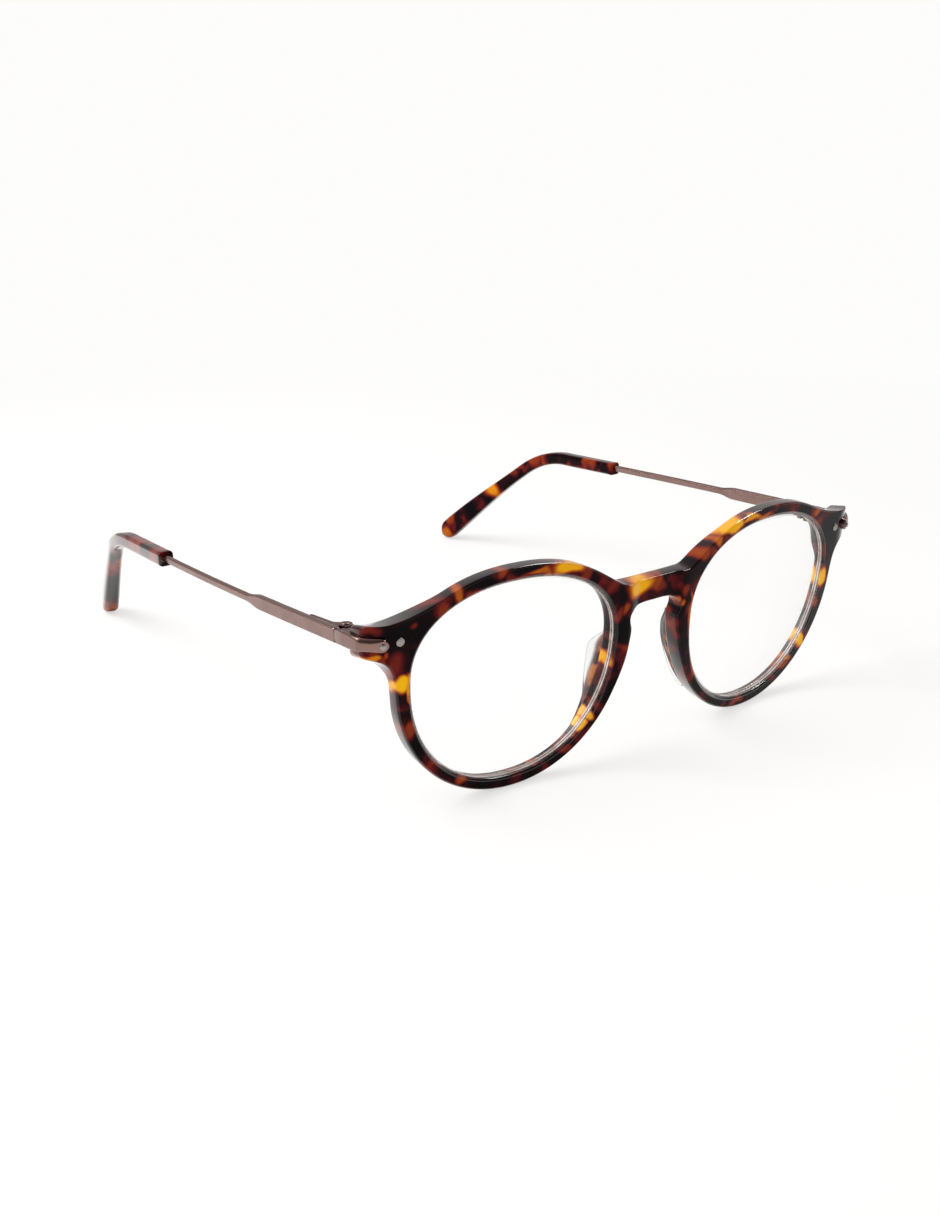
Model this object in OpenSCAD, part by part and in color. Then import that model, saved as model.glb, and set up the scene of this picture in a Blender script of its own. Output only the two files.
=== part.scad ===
// Round reading glasses with an acetate front, clear lenses, metal temples and acetate tips.
// They stand open on the rims and the temple tips. The front faces -Y and the temples run back.
// The wearer's left is +X. Sizes are in millimetres.

/* [Lenses] */
// Width of one lens opening
lens_w = 44.7; // [40:0.1:50]
// Height of the opening above its widest line
lens_up = 15.8; // [14:0.1:18]
// Height of the opening below its widest line
lens_down = 24.7; // [21:0.1:27]
// Thickness of a lens at its edge
lens_edge_t = 1.6; // [1.2:0.1:2]
// Radius of the lens's front surface
lens_front_r = 120; // [90:5:200]
// Radius of the lens's back surface
lens_back_r = 150; // [110:5:300]

/* [Front] */
// Gap between the two lens openings
bridge_w = 20.6; // [18:0.1:24]
// Height of the bridge's top edge above the widest line
bridge_top = 10.3; // [9:0.1:11]
// Height of the bridge at the middle
bridge_h = 5; // [3.5:0.1:6]
// How far the bridge's face lies behind the rims
bridge_recess = 0.9; // [0:0.1:1.2]
// Thickness of the bridge
bridge_t = 3.1; // [2.6:0.1:4]
// Narrowest width between the two nasal rims
nose_gap = 11.8; // [10:0.1:13]
// Width of the rim over a lens
rim_top = 2.7; // [2.2:0.1:4]
// Width of the rim at the side of a lens
rim_side = 3.1; // [2.4:0.1:4]
// Width of the rim under a lens
rim_bottom = 2.5; // [2:0.1:4]
// Thickness of the rims from front to back
rim_t = 2.8; // [2.6:0.1:4]
// Depth of the end blocks from front to back
end_t = 6.1; // [5:0.1:6.6]
// Radius of the rounded edges
edge_r = 0.6; // [0.3:0.1:0.9]
// Length of the end block beyond the rim
end_l = 5.8; // [5.4:0.1:8]
// Height of the end block at its end
end_h = 6.4; // [5.4:0.1:7]
// Height of the end block's top edge above the widest line
end_top = 12; // [11:0.1:13]
// How far the end block's face bends back at its end
end_bend = 2.4; // [0.8:0.1:2.8]
// Turn of each half about the vertical, ends to the back
wrap = 5.2; // [2:0.2:9]
// Lean of the front, top towards the viewer
lean = 4.8; // [2:0.1:9]

/* [Nose pads] */
// How far a nose pad stands behind the rim
pad_h = 4.1; // [2.5:0.1:5.5]
// Length of a nose pad down the rim
pad_l = 18.5; // [14:0.5:21]

/* [Corner strips and hinges] */
// Thickness of the metal strip
strip_t = 0.9; // [0.6:0.05:1.2]
// Height of the metal strip
strip_h = 2.7; // [2.2:0.1:3.4]
// Length of the strip on the face of the end block
strip_l = 4; // [3.8:0.1:4.6]
// Height of the strip's centre above the widest line, at the corner
strip_up = 8.6; // [8.2:0.05:9.2]
// Downward slope of the strip's side in degrees
strip_fall = 3.4; // [0:0.2:6]
// How far behind the face's corner the strip and the temple meet
seam_back = 7.2; // [6.8:0.1:9]
// Outer radius of the hinge barrels
barrel_r = 1.25; // [1:0.05:1.5]
// Radius of the hinge screw's shank
screw_r = 0.55; // [0.4:0.05:0.7]
// Radius of the screw's head
screw_head_r = 0.95; // [0.8:0.05:1.2]
// Radius of the rivet through the strip
rivet_r = 0.65; // [0.5:0.05:0.8]
// Radius of the round pin in the face
pin_r = 0.9; // [0.6:0.05:1.1]

/* [Temples] */
// Thickness of the metal temple
temple_t = 1.4; // [1.1:0.05:1.8]
// Length of the broad part of the temple
broad_l = 26; // [20:1:40]
// Height of the thin bar
bar_h = 1.65; // [1.3:0.05:2]
// Length of the temple from the hinge to the bend at the ear
temple_l = 98.8; // [88:0.2:110]
// Length from the bend to the middle of the rounded end
drop_l = 47.4; // [44:0.2:56]
// Downward slope of the temple in degrees
temple_slope = 2.5; // [0:0.1:4]
// Outward splay of the temple in degrees
temple_splay = 0.4; // [0:0.1:1.5]
// Outward bow of the temple's middle
temple_bow = 0.9; // [0:0.1:2]
// Distance that the tip's end lies inwards of the temple
tip_in = 9.6; // [4:0.1:14]
// Radius of the bend
bend_r = 29; // [18:1:36]

/* [Temple tips] */
// Length of the acetate tip before the bend
tip_l = 29.4; // [22:0.2:40]
// Thickness of the tip
tip_t = 3.5; // [3:0.1:4.2]
// Height of the tip where it starts
tip_h = 3; // [2.8:0.1:4]
// Height of the tip at its rounded end
tip_end_h = 5.3; // [4:0.1:7]

/* [Hidden] */

acetate_col = "saddlebrown";
clear_col = [0.85, 0.92, 0.95, 0.5];
metal_col = [0.60, 0.51, 0.47];
screw_col = [0.75, 0.74, 0.72];

// Places on the front, measured from its middle line and the lenses' widest line
lens_x = bridge_w / 2 + lens_w / 2;
half_w = bridge_w / 2 + lens_w + rim_side + end_l;
lens_mid_v = (lens_up - lens_down) / 2;
nose_half = nose_gap / 2;
keyhole_top = bridge_top - bridge_h;
end_bottom = end_top - end_h;
// Powers of the rounded lens shape over and under the widest line, and of the rim's outer shape
up_power = 2.22;
down_power = 2.15;
rim_up_power = 2.2;
rim_down_power = 2.04;
// The face is flat to flat_u, and each half is a plane from plane_u on
flat_u = 3;
plane_u = bridge_w / 2 - 0.65;
ramp_in = 4;
ramp_out = 7.5;
// The rays of the front's mesh start at the height of the bridge's middle, where every outline point is seen
ray_v = bridge_top - bridge_h / 2;
// Groove in the rim and the matching edge of the lens
groove_d = rim_t / 2;
groove_in = 0.5;
groove_half = 0.6;
lens_clear = 0.1;
// Seat clearance of parts that lie on the acetate
seat = 0.03;
// Running clearances of the hinge
run = 0.05;
thread = 0.01;
// Height of the widest line when the rims stand on the table
widest_z = (lens_down + rim_bottom) * cos(lean) - edge_r * sin(lean);

function sgn(x) = x < 0 ? -1 : 1;
function unit(v) = v / norm(v);
function mix(a, b, t) = a + (b - a) * t;
function smooth(t) = let (c = min(1, max(0, t))) c * c * (3 - 2 * c);

// Depth of the plane of each half behind the lens centre
function face_plane(u) = let (a = abs(u), blend = plane_u - flat_u)
    ((a >= plane_u ? a : pow(max(0, a - flat_u), 2) / (2 * blend) + plane_u - blend / 2) - lens_x) * tan(wrap);
// The face is set back at the bridge and bends back at the end blocks
bend_from = half_w - 5;
function face_front(u) = face_plane(u) + bridge_recess * (1 - smooth((abs(u) - ramp_in) / (ramp_out - ramp_in)))
    + end_bend * pow(max(0, abs(u) - bend_from) / (half_w - bend_from), 2);
function face_back(u, v) = let (a = abs(u)) face_plane(u) + mix(mix(bridge_recess + bridge_t, rim_t, smooth((a - 11) / 9)),
    end_t, smooth((a - half_w + 16) / 16) * smooth((v - 1) / 5));
// The end blocks' backs hang a little lower than their faces
function end_sag(u) = 0.26 * smooth((abs(u) - half_w + 14) / 10);
// Slope of the face across, in degrees
function face_slope(u) = atan((face_front(u + 0.05) - face_front(u - 0.05)) / 0.1);

// A point of the leaning front in the standing frame
function stand(p) = [p[0], p[1] * cos(lean) - p[2] * sin(lean), widest_z + p[1] * sin(lean) + p[2] * cos(lean)];

// Rounded shape at curve angle t with half width a, height b and power n
function rounded(t, a, b, n) =
    [lens_x + a * sgn(cos(t)) * pow(abs(cos(t)), 2 / n), b * sgn(sin(t)) * pow(abs(sin(t)), 2 / n)];
function lens_curve(t) = sin(t) > 0 ? rounded(t, lens_w / 2, lens_up, up_power) :
    rounded(t, lens_w / 2, lens_down, down_power);
function rim_curve(t) = sin(t) > 0 ? rounded(t, lens_w / 2 + rim_side, lens_up + rim_top, rim_up_power) :
    rounded(t, lens_w / 2 + rim_side, lens_down + rim_bottom, rim_down_power);

// Half width of the rim's outer curve at height v
function rim_half(v) = let (n = v > 0 ? rim_up_power : rim_down_power,
        b = v > 0 ? lens_up + rim_top : lens_down + rim_bottom)
    (lens_w / 2 + rim_side) * pow(1 - pow(min(1, abs(v) / b), n), 1 / n);

// Smooth curve through points, with steps points in each span
function spline(p, steps) = [for (i = [0 : len(p) - 2], k = [0 : steps - 1])
    let (t = k / steps, a = p[max(0, i - 1)], b = p[i], c = p[i + 1], d = p[min(len(p) - 1, i + 2)])
    0.5 * (2 * b + (c - a) * t + (2 * a - 5 * b + 4 * c - d) * t * t + (3 * b - a - 3 * c + d) * t * t * t)];

function bezier(a, b, c, d, steps) = [for (i = [0 : steps - 1]) let (t = i / steps, k = 1 - t)
    k * k * k * a + 3 * k * k * t * b + 3 * k * t * t * c + t * t * t * d];

// Outline of the left half, from the keyhole round the rim and the end block to the bridge's top
nose_v = 0.6;
flare_v = -12;
nasal_v = -19;
nasal_flare = lens_x - rim_half(nose_v) - nose_half;
function nasal_u(v) = lens_x - rim_half(v) - nasal_flare * pow(max(0, v - flare_v) / (nose_v - flare_v), 1.3);
keyhole_line = spline([[0, keyhole_top], [nose_half * 0.45, keyhole_top], [nose_half * 0.85, keyhole_top - 0.4],
    [nose_half + 0.7, keyhole_top - 1.7], [nose_half + 0.75, nose_v + 1.7], [nose_half, nose_v]], 3);
nasal_line = [for (i = [0 : 8]) let (v = mix(nose_v, nasal_v, i / 8)) [nasal_u(v), v]];
under_line = [for (t = [229 : 5 : 346]) rim_curve(t)];
side_p = rim_curve(350);
end_low_p = [half_w - 0.8, end_bottom];
lower_end_line = bezier(side_p, side_p + [0.9, 5.5], end_low_p - [3.8, 0.7], end_low_p, 11);
end_line = [for (t = [-90 : 30 : 0]) [half_w, end_bottom] + [-0.8, 0.8] + 0.8 * [cos(t), sin(t)],
    [half_w, mix(end_bottom, end_top, 0.5)], for (t = [0 : 30 : 60]) [half_w, end_top] - [0.7, 0.7] + 0.7 * [cos(t), sin(t)]];
end_top_p = [half_w - 0.7, end_top];
shoulder_p = rim_curve(58);
upper_end_line = bezier(end_top_p, end_top_p - [7, 0.1], shoulder_p + [4.2, -1.86], shoulder_p, 9);
over_line = [for (t = [58 : 6 : 122]) rim_curve(t)];
brow_p = rim_curve(126);
bridge_p = [bridge_w / 2 - 2, bridge_top];
brow_line = bezier(brow_p, brow_p + [-3.2, -1.5], bridge_p + [1.6, 0.4], bridge_p, 8);
bridge_line = [for (t = [0 : 0.25 : 0.75]) [bridge_p[0] * (1 - t), bridge_top]];
half_outline = concat(keyhole_line, nasal_line, under_line, lower_end_line, end_line, upper_end_line,
    over_line, brow_line, bridge_line, [[0, bridge_top]]);

// Direction inwards at point i of a chain, a closed one or one mirrored at the middle line
function inward(p, i, closed) = let (n = len(p),
        before = i > 0 ? p[i - 1] : closed ? p[n - 1] : [-p[1][0], p[1][1]],
        after = i < n - 1 ? p[i + 1] : closed ? p[0] : [-p[n - 2][0], p[n - 2][1]],
        d1 = unit(p[i] - before), d2 = unit(after - p[i]),
        n1 = [-d1[1], d1[0]], n2 = [-d2[1], d2[0]])
    (n1 + n2) / max(0.6, 1 + n1 * n2);
function inset(p, by, closed = true) = [for (i = [0 : len(p) - 1]) p[i] + by * inward(p, i, closed)];

// Where the ray at angle a from the ray centre meets the lens opening
function lens_ray(a, lo = 0, hi = 60, n = 26) = let (m = (lo + hi) / 2,
        x = m * cos(a), y = ray_v + m * sin(a), q = y > 0 ? up_power : down_power,
        f = pow(abs(x) / (lens_w / 2), q) + pow(abs(y) / (y > 0 ? lens_up : lens_down), q))
    n == 0 ? [lens_x + x, y] : f > 1 ? lens_ray(a, lo, m, n - 1) : lens_ray(a, m, hi, n - 1);

// Front: one closed skin of sections between the lens opening and the outline
outline_edge = inset(half_outline, edge_r, false);
// Points of the bridge aim nearer to its middle, so that the mesh lines fan out there
function aim_v(p) = mix(p[1], ray_v, 0.85 * max(0, 1 - p[0] / plane_u) * smooth((p[1] - nose_v) / (keyhole_top - nose_v)));
opening = [for (p = outline_edge) lens_ray(atan2(aim_v(p) - ray_v, p[0] - lens_x))];
stations = len(half_outline);
opening_edge = inset(opening, -edge_r);
opening_chamfer = inset(opening, -edge_r * 0.29);
opening_groove = inset(opening, -groove_in);
outline_soft = inset(half_outline, edge_r * 0.29, false);
face_steps = [0.16, 0.34, 0.52, 0.7, 0.86];
back_steps = [0.7, 0.35];
function on_mid(i) = i == 0 || i == stations - 1;
function mid_flat(p, i) = on_mid(i) ? [0, p[1]] : p;
function at_depth(p, from_front, from_back = 0, share = 0) =
    let (d = mix(face_front(p[0]) + from_front, face_back(p[0], p[1]) - from_back, share))
    [p[0], d, p[1] - end_sag(p[0]) * (d - face_front(p[0]))];
function section(i) = let (oe = mid_flat(outline_edge[i], i), os = mid_flat(outline_soft[i], i), o = half_outline[i],
        ie = opening_edge[i], ic = opening_chamfer[i], io = opening[i], ig = opening_groove[i], r = edge_r)
    concat([at_depth(ie, 0), at_depth(ic, r * 0.29), [io[0], face_plane(io[0]) + groove_d - groove_half, io[1]],
        [ig[0], face_plane(ig[0]) + groove_d, ig[1]], [io[0], face_plane(io[0]) + groove_d + groove_half, io[1]],
        at_depth(ic, 0, r * 0.29, 1), at_depth(ie, 0, 0, 1)],
        [for (t = back_steps) at_depth(mix(oe, ie, t), 0, 0, 1)],
        [at_depth(oe, 0, 0, 1), at_depth(os, 0, r * 0.29, 1), at_depth(o, 0, r, 1), at_depth(o, r),
        at_depth(os, r * 0.29), at_depth(oe, 0)],
        [for (t = face_steps) at_depth(mix(oe, ie, t), 0)]);
// The first and last sections meet the mirrored half at these points of a section, and share them
wall_first = 9;
wall_last = 14;
half_points = [for (i = [0 : stations - 1]) each section(i)];
ring_n = len(section(0));
half_count = len(half_points);
front_points = concat(half_points, [for (p = half_points) [-p[0], p[1], p[2]]]);
function mirrored(k) = abs(half_points[k][0]) < 0.000001 ? k : k + half_count;
// The strip of quads between the last and the first section has no outer wall, as the bridge goes on there
half_quads = [for (i = [0 : stations - 1], k = [0 : ring_n - 1])
    if (i < stations - 1 || k < wall_first || k >= wall_last)
        let (j = (i + 1) % stations, l = (k + 1) % ring_n)
        [i * ring_n + k, j * ring_n + k, j * ring_n + l, i * ring_n + l]];
front_faces = concat([for (q = half_quads) [q[3], q[2], q[1], q[0]]],
    [for (q = half_quads) [for (k = q) mirrored(k)]]);

module leaning() {
    translate([0, 0, widest_z]) rotate([lean, 0, 0]) children();
}

// Puts the finished piece so that the middle of the glasses' length is at y = 0
module placed() {
    translate([0, -mid_y, 0]) children();
}

// One side's piece as drawn is the wearer's left, and the right one is its mirror image
module right_side() {
    mirror([1, 0, 0]) children();
}

// Skin over a list of rings with the same number of points each
module skin(rings) {
    n = len(rings[0]);
    count = len(rings);
    faces = concat([[for (k = [n - 1 : -1 : 0]) k]],
        [for (i = [0 : count - 2], k = [0 : n - 1]) let (l = (k + 1) % n)
            [i * n + k, i * n + l, (i + 1) * n + l, (i + 1) * n + k]],
        [[for (k = [0 : n - 1]) (count - 1) * n + k]]);
    polyhedron(points = [for (r = rings) each r], faces = faces, convexity = 6);
}

module front() {
    color(acetate_col) placed() leaning()
        polyhedron(points = front_points, faces = front_faces, convexity = 10);
}

// Lens: a meniscus blank cut to the opening's shape, with a pointed edge that sits in the groove
lens_points = [for (t = [0 : 5 : 355]) lens_curve(t)];
blank_r = max(lens_w, lens_up + lens_down) / 2 + 2;
function arc_h(r, radius) = sqrt(radius * radius - r * r) - sqrt(radius * radius - blank_r * blank_r);
function lens_ring(grow, depth) = [for (p = inset(lens_points, -grow)) [p[0], face_plane(p[0]) + groove_d + depth, p[1]]];
module lens() {
    steps = 12;
    front_arc = [for (i = [0 : steps]) let (r = blank_r * i / steps) [r, lens_edge_t / 2 + arc_h(r, lens_front_r)]];
    back_arc = [for (i = [steps : -1 : 0]) let (r = blank_r * i / steps) [r, arc_h(r, lens_back_r) - lens_edge_t / 2]];
    color(clear_col) placed() leaning() intersection() {
        skin([lens_ring(-0.15, -4), lens_ring(-0.15, lens_clear - groove_half), lens_ring(groove_in - lens_clear, 0),
            lens_ring(-0.15, groove_half - lens_clear), lens_ring(-0.15, 4)]);
        translate([lens_x, groove_d, lens_mid_v]) rotate([0, 0, wrap]) rotate([90, 0, 0])
            rotate_extrude($fn = 96) polygon(concat(front_arc, back_arc));
    }
}

// Nose pad: a clear ridge behind the nasal rim that leans towards the lens
pad_top = nose_v - 1.1;
function pad_rise(t) = pad_h * smooth(t / 0.3 + 0.12) * (1 - pow(max(0, t - 0.35) / 0.7, 1.4));
pad_rings = [for (i = [0 : 13]) let (t = i / 13, v = pad_top - pad_l * t, h = pad_rise(t),
        base = nasal_u(v) + edge_r, ridge = base + 0.3 + 2.8 * smooth(t / 0.3 + 0.12) - 3.7 * pow(t, 1.5), foot = base + 1.9)
    [for (q = [[foot, 0], [foot, 0.45 * h], [ridge + 0.4, 0.82 * h], [ridge + 0.15, 0.97 * h], [ridge - 0.2, h],
            [ridge - 0.5, 0.93 * h], [mix(base, ridge, 0.6), 0.72 * h], [mix(base, ridge, 0.25), 0.36 * h], [base, 0]])
        [q[0], face_back(q[0], v) + seat + q[1], v - 0.15 * q[1]]]];
module nose_pad() {
    color(clear_col) placed() leaning() skin(pad_rings);
}

// Strip: runs along the face, round the corner and back to the seam
corner_slope = face_slope(half_w);
corner_p = stand([half_w, face_front(half_w), strip_up]);
seam_y = corner_p[1] + seam_back;
hinge_z = corner_p[2] - (seam_back + barrel_r / 2) * tan(strip_fall);
strip_off = seat + strip_t / 2;
strip_half = strip_h / 2;
face_up = [0, -sin(lean), cos(lean)];
side_up = [0, sin(strip_fall), cos(strip_fall)];
function strip_ring(c, side, up, half) = let (o = strip_t / 2, b = min(0.3, half * 0.5))
    [c - side * o - up * half, c + side * (o - b) - up * half, c + side * o - up * (half - b),
    c + side * o + up * (half - b), c + side * (o - b) + up * half, c - side * o + up * half];
strip_start = half_w - strip_l;
corner_u = half_w - edge_r * (1 - sin(corner_slope));
function strip_face_ring(u, half) = let (side = [sin(face_slope(u)), -cos(face_slope(u)), 0])
    strip_ring(stand([u, face_front(u), strip_up]) + side * strip_off, side, face_up, half);
strip_face_rings = [for (a = [15, 40, 65, 90]) strip_face_ring(strip_start + strip_half * (1 - cos(a)), strip_half * sin(a)),
    for (k = [1 : 3]) strip_face_ring(mix(strip_start + strip_half, corner_u - 0.2, k / 3), strip_half)];
corner_side = [sin(corner_slope), -cos(corner_slope), 0];
corner_c = stand([corner_u, face_front(corner_u), strip_up]) - edge_r * corner_side;
strip_corner_rings = [for (k = [0 : 4]) let (turn = mix(corner_slope - 90, 0, k / 4), side = [cos(turn), sin(turn), 0],
        up = unit(mix(face_up, side_up, k / 4)))
    strip_ring(corner_c + side * (edge_r + strip_off), side, up, strip_half)];
function side_point(y) = [half_w + strip_off, y, corner_p[2] - (y - corner_p[1]) * tan(strip_fall)];
strip_side_rings = [for (y = [corner_p[1] + 2.6, seam_y - run / 2]) strip_ring(side_point(y), [1, 0, 0], [0, 0, 1], strip_half)];
rivet_u = strip_start + rivet_r + 0.3;
pin_u = strip_start - 2.4;
rivet_drill = 0.02;
// Things on the face look along it
module on_face(u) {
    translate([u, face_front(u), strip_up]) rotate([0, 0, face_slope(u)]) rotate([90, 0, 0]) children();
}
module corner_strip() {
    color(metal_col) placed() difference() {
        skin(concat(strip_face_rings, strip_corner_rings, strip_side_rings));
        leaning() on_face(rivet_u) cylinder(r = rivet_r * 0.75 + rivet_drill, h = 6, center = true, $fn = 32);
    }
}

// Rivet head on the strip with its shank through the strip into the acetate
module strip_rivet() {
    color(screw_col) placed() leaning() on_face(rivet_u) {
        translate([0, 0, strip_t + seat + 0.02]) rotate_extrude($fn = 48)
            polygon([[0, 0], [rivet_r, 0], [rivet_r, 0.12], [rivet_r * 0.75, 0.24], [rivet_r * 0.4, 0.3], [0, 0.32]]);
        translate([0, 0, 0.02]) cylinder(r = rivet_r * 0.75, h = strip_t + seat + 0.1, $fn = 32);
    }
}

// Round pin whose domed head shows in the face beside the strip
module face_pin() {
    color(screw_col) placed() leaning() on_face(pin_u) translate([0, 0, 0.02])
        rotate_extrude($fn = 48) polygon([[0, 0], [pin_r, 0], [pin_r * 0.94, 0.1], [pin_r * 0.6, 0.2], [0, 0.26]]);
}

// Hinge: two barrels on the front's block, one on the temple's block, a screw through all three
axis_x = half_w - 2.1;
axis_y = seam_y + 0.9;
barrel_half = strip_half + 0.1;
mid_half = 0.65;
block_in = axis_x - 1.1;
block_top = strip_half - 0.1;
function block_y(u) = stand([u, face_back(u, strip_up), strip_up - 1.6])[1] + seat;
module front_hinge() {
    color(metal_col) placed() difference() {
        union() {
            translate([0, 0, hinge_z - block_top]) linear_extrude(2 * block_top)
                polygon([[half_w + seat, seam_y - 0.4], [block_in, seam_y - 0.4], [block_in, block_y(block_in)],
                    [half_w + seat, block_y(half_w)]]);
            for (s = [-1, 1]) translate([axis_x, axis_y, hinge_z + s * (barrel_half + mid_half + run) / 2]) {
                cylinder(r = barrel_r, h = barrel_half - mid_half - run, center = true, $fn = 48);
                translate([-0.9, -1.4, -(barrel_half - mid_half - run) / 2])
                    cube([1.8, 1.4, barrel_half - mid_half - run]);
            }
        }
        translate([axis_x, axis_y, hinge_z]) cylinder(r = screw_r + thread, h = 8, center = true, $fn = 48);
    }
}

module hinge_screw() {
    color(screw_col) placed() translate([axis_x, axis_y, hinge_z]) difference() {
        union() {
            translate([0, 0, -barrel_half]) cylinder(r = screw_r, h = 2 * barrel_half + 0.2, $fn = 48);
            translate([0, 0, barrel_half + thread]) cylinder(r1 = screw_head_r, r2 = screw_head_r * 0.85, h = 0.45, $fn = 48);
        }
        translate([-screw_head_r - 1, -0.14, barrel_half + 0.25]) cube([2 * screw_head_r + 2, 0.28, 1]);
    }
}

// Centre line of a temple: straight, one round bend, straight down to the table.
// The rounded end's middle is tip_rest above the table.
tip_end_r = tip_end_h / 2;
start_p = side_point(seam_y + run / 2);
run_dir = [sin(temple_splay), cos(temple_slope) * cos(temple_splay), -sin(temple_slope) * cos(temple_splay)];
bend_p = start_p + temple_l * run_dir;
tip_rest = 0.925 * tip_end_r;
drop_down = bend_p[2] - tip_rest;
drop_back = sqrt(drop_l * drop_l - drop_down * drop_down - tip_in * tip_in);
drop_dir = [-tip_in, drop_back, -drop_down] / drop_l;
bend_angle = acos(run_dir * drop_dir);
bend_cut = bend_r * tan(bend_angle / 2);
bend_len = bend_r * bend_angle * PI / 180;
straight_l = temple_l - bend_cut;
bend_side = unit(drop_dir - run_dir * (run_dir * drop_dir));
path_l = straight_l + bend_len + drop_l - bend_cut;
function path_dir(s) = let (a = min(bend_angle, max(0, (s - straight_l) / bend_len * bend_angle)))
    run_dir * cos(a) + bend_side * sin(a);
function path_point(s) = s <= straight_l ? start_p + run_dir * s + sin(180 * s / straight_l) * [1, 0, 0] * temple_bow :
    s <= straight_l + bend_len ? let (a = (s - straight_l) / bend_len * bend_angle)
        start_p + run_dir * (straight_l + bend_r * sin(a)) + bend_side * bend_r * (1 - cos(a)) :
    bend_p + drop_dir * (s - straight_l - bend_len + bend_cut);
function path_side(s) = unit(cross(path_dir(s), [0, 0, 1]));
function path_up(s) = cross(path_side(s), path_dir(s));

// Ring across the path at s: thickness w, height h, corners cut by c, shifted inwards by in
function path_ring(s, w, h, c, in = 0) = let (p = path_point(s), x = path_side(s), z = path_up(s), a = w / 2, b = h / 2,
        outer = [[a, -b + c], [a, b - c], [a - c * 0.3, b - c * 0.3], [a - c, b], [-a + c, b], [-a + c * 0.3, b - c * 0.3],
            [-a, b - c], [-a, -b + c], [-a + c * 0.3, -b + c * 0.3], [-a + c, -b], [a - c, -b], [a - c * 0.3, -b + c * 0.3]])
    [for (q = outer) p + x * (q[0] - in) + z * q[1]];

// Places along the path that the metal core and its channel in the tip share
tip_s = temple_l - tip_l;
core_end_s = path_l - 16;
core_s = [tip_s, tip_s + 8, straight_l - 2, for (k = [0 : 6]) straight_l + bend_len * k / 6,
    mix(straight_l + bend_len, core_end_s, 0.5), core_end_s];
core_t = 1;
core_h = 1.2;
outer_x = half_w + seat + strip_t;
lay = start_p[0] + temple_t / 2 - outer_x;
module temple() {
    broad_h = strip_h + 0.1;
    shoulder_s = broad_l + 6;
    color(metal_col) placed() skin(concat(
        [for (p = [[0, broad_h, temple_t], [broad_l * 0.5, broad_h, temple_t], [broad_l, broad_h, temple_t],
            [broad_l + 2, broad_h - 0.25, temple_t], [broad_l + 4, bar_h + 0.25, temple_t], [shoulder_s, bar_h, temple_t - 0.2],
            [mix(shoulder_s, tip_s, 0.5), bar_h, temple_t - 0.2], [tip_s - 0.1, bar_h, temple_t - 0.2]])
            path_ring(p[0], p[2], p[1], 0.3, lay + (p[2] - temple_t) / 2)],
        [for (s = core_s) path_ring(s, core_t, core_h, 0.2, lay)]));
}

// Hinge block on the temple's inner face, tapering back, with the middle barrel
module temple_hinge() {
    block_y = axis_y + barrel_r + 0.2;
    inner_x = outer_x - temple_t;
    color(metal_col) placed() difference() {
        union() {
            translate([0, 0, hinge_z - block_top]) linear_extrude(2 * block_top - 0.5)
                polygon([[inner_x - seat, block_y], [inner_x - seat, block_y + 8.5], [inner_x - 0.4, block_y + 8],
                    [inner_x - 1.3, block_y + 2.4], [block_in + 0.1, block_y + 1], [block_in + 0.1, block_y]]);
            translate([axis_x, axis_y, hinge_z]) cylinder(r = barrel_r, h = 2 * mid_half, center = true, $fn = 48);
            translate([axis_x - 0.9, axis_y, hinge_z - mid_half]) cube([1.8, barrel_r + 0.4, 2 * mid_half]);
        }
        translate([axis_x, axis_y, hinge_z]) cylinder(r = screw_r + run, h = 8, center = true, $fn = 48);
    }
}

// Tip: the channel's rings run from its closed end to the mouth, then the outer rings run back
channel_clear = 0.06;
tip_flat_s = straight_l + bend_len + 2;
function tip_height(s) = mix(tip_h, tip_end_h, smooth((s - tip_flat_s) / (path_l - tip_flat_s - 2)));
module tip() {
    channel = [for (i = [len(core_s) - 1 : -1 : 1]) path_ring(core_s[i] + (i == len(core_s) - 1 ? 0.3 : 0),
        core_t + 2 * channel_clear, core_h + 2 * channel_clear, 0.2, lay)];
    mouth = path_ring(tip_s, core_t + 2 * channel_clear, core_h + 2 * channel_clear, 0.2, lay);
    outer_s = [tip_s + 0.5, tip_s + 8, tip_s + 16, straight_l - 2, for (k = [0 : 7]) straight_l + bend_len * k / 7,
        for (k = [1 : 5]) mix(straight_l + bend_len, path_l - 1, k / 5)];
    shell = concat([path_ring(tip_s, tip_t - 0.8, tip_h - 0.8, 0.5, lay)],
        [for (s = outer_s) path_ring(s, tip_t, tip_height(s), 0.9, lay)]);
    cap = [for (a = [15, 35, 55, 75]) let (s = path_l - 1 + (tip_end_r + 1) * sin(a))
        path_ring(s, mix(tip_t, 1.6, 1 - cos(a)), tip_end_h * cos(a), 0.9 * pow(cos(a), 0.7), lay)];
    color(acetate_col) placed() skin(concat(channel, [mouth], shell, cap));
}

// Ends of the glasses along Y, which set the origin at the middle of their length
front_y = min([for (p = front_points) stand(p)[1]]);
back_y = path_point(path_l)[1] + 0.94 * tip_end_r;
mid_y = (front_y + back_y) / 2;

front();
lens();  // lens_left
right_side() lens();  // lens_right
nose_pad();  // nose_pad_left
right_side() nose_pad();  // nose_pad_right
corner_strip();  // corner_strip_left
right_side() corner_strip();  // corner_strip_right
strip_rivet();  // strip_rivet_left
right_side() strip_rivet();  // strip_rivet_right
face_pin();  // face_pin_left
right_side() face_pin();  // face_pin_right
front_hinge();  // front_hinge_left
right_side() front_hinge();  // front_hinge_right
hinge_screw();  // hinge_screw_left
right_side() hinge_screw();  // hinge_screw_right
temple();  // temple_left
right_side() temple();  // temple_right
temple_hinge();  // temple_hinge_left
right_side() temple_hinge();  // temple_hinge_right
tip();  // tip_left
right_side() tip();  // tip_right
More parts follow.
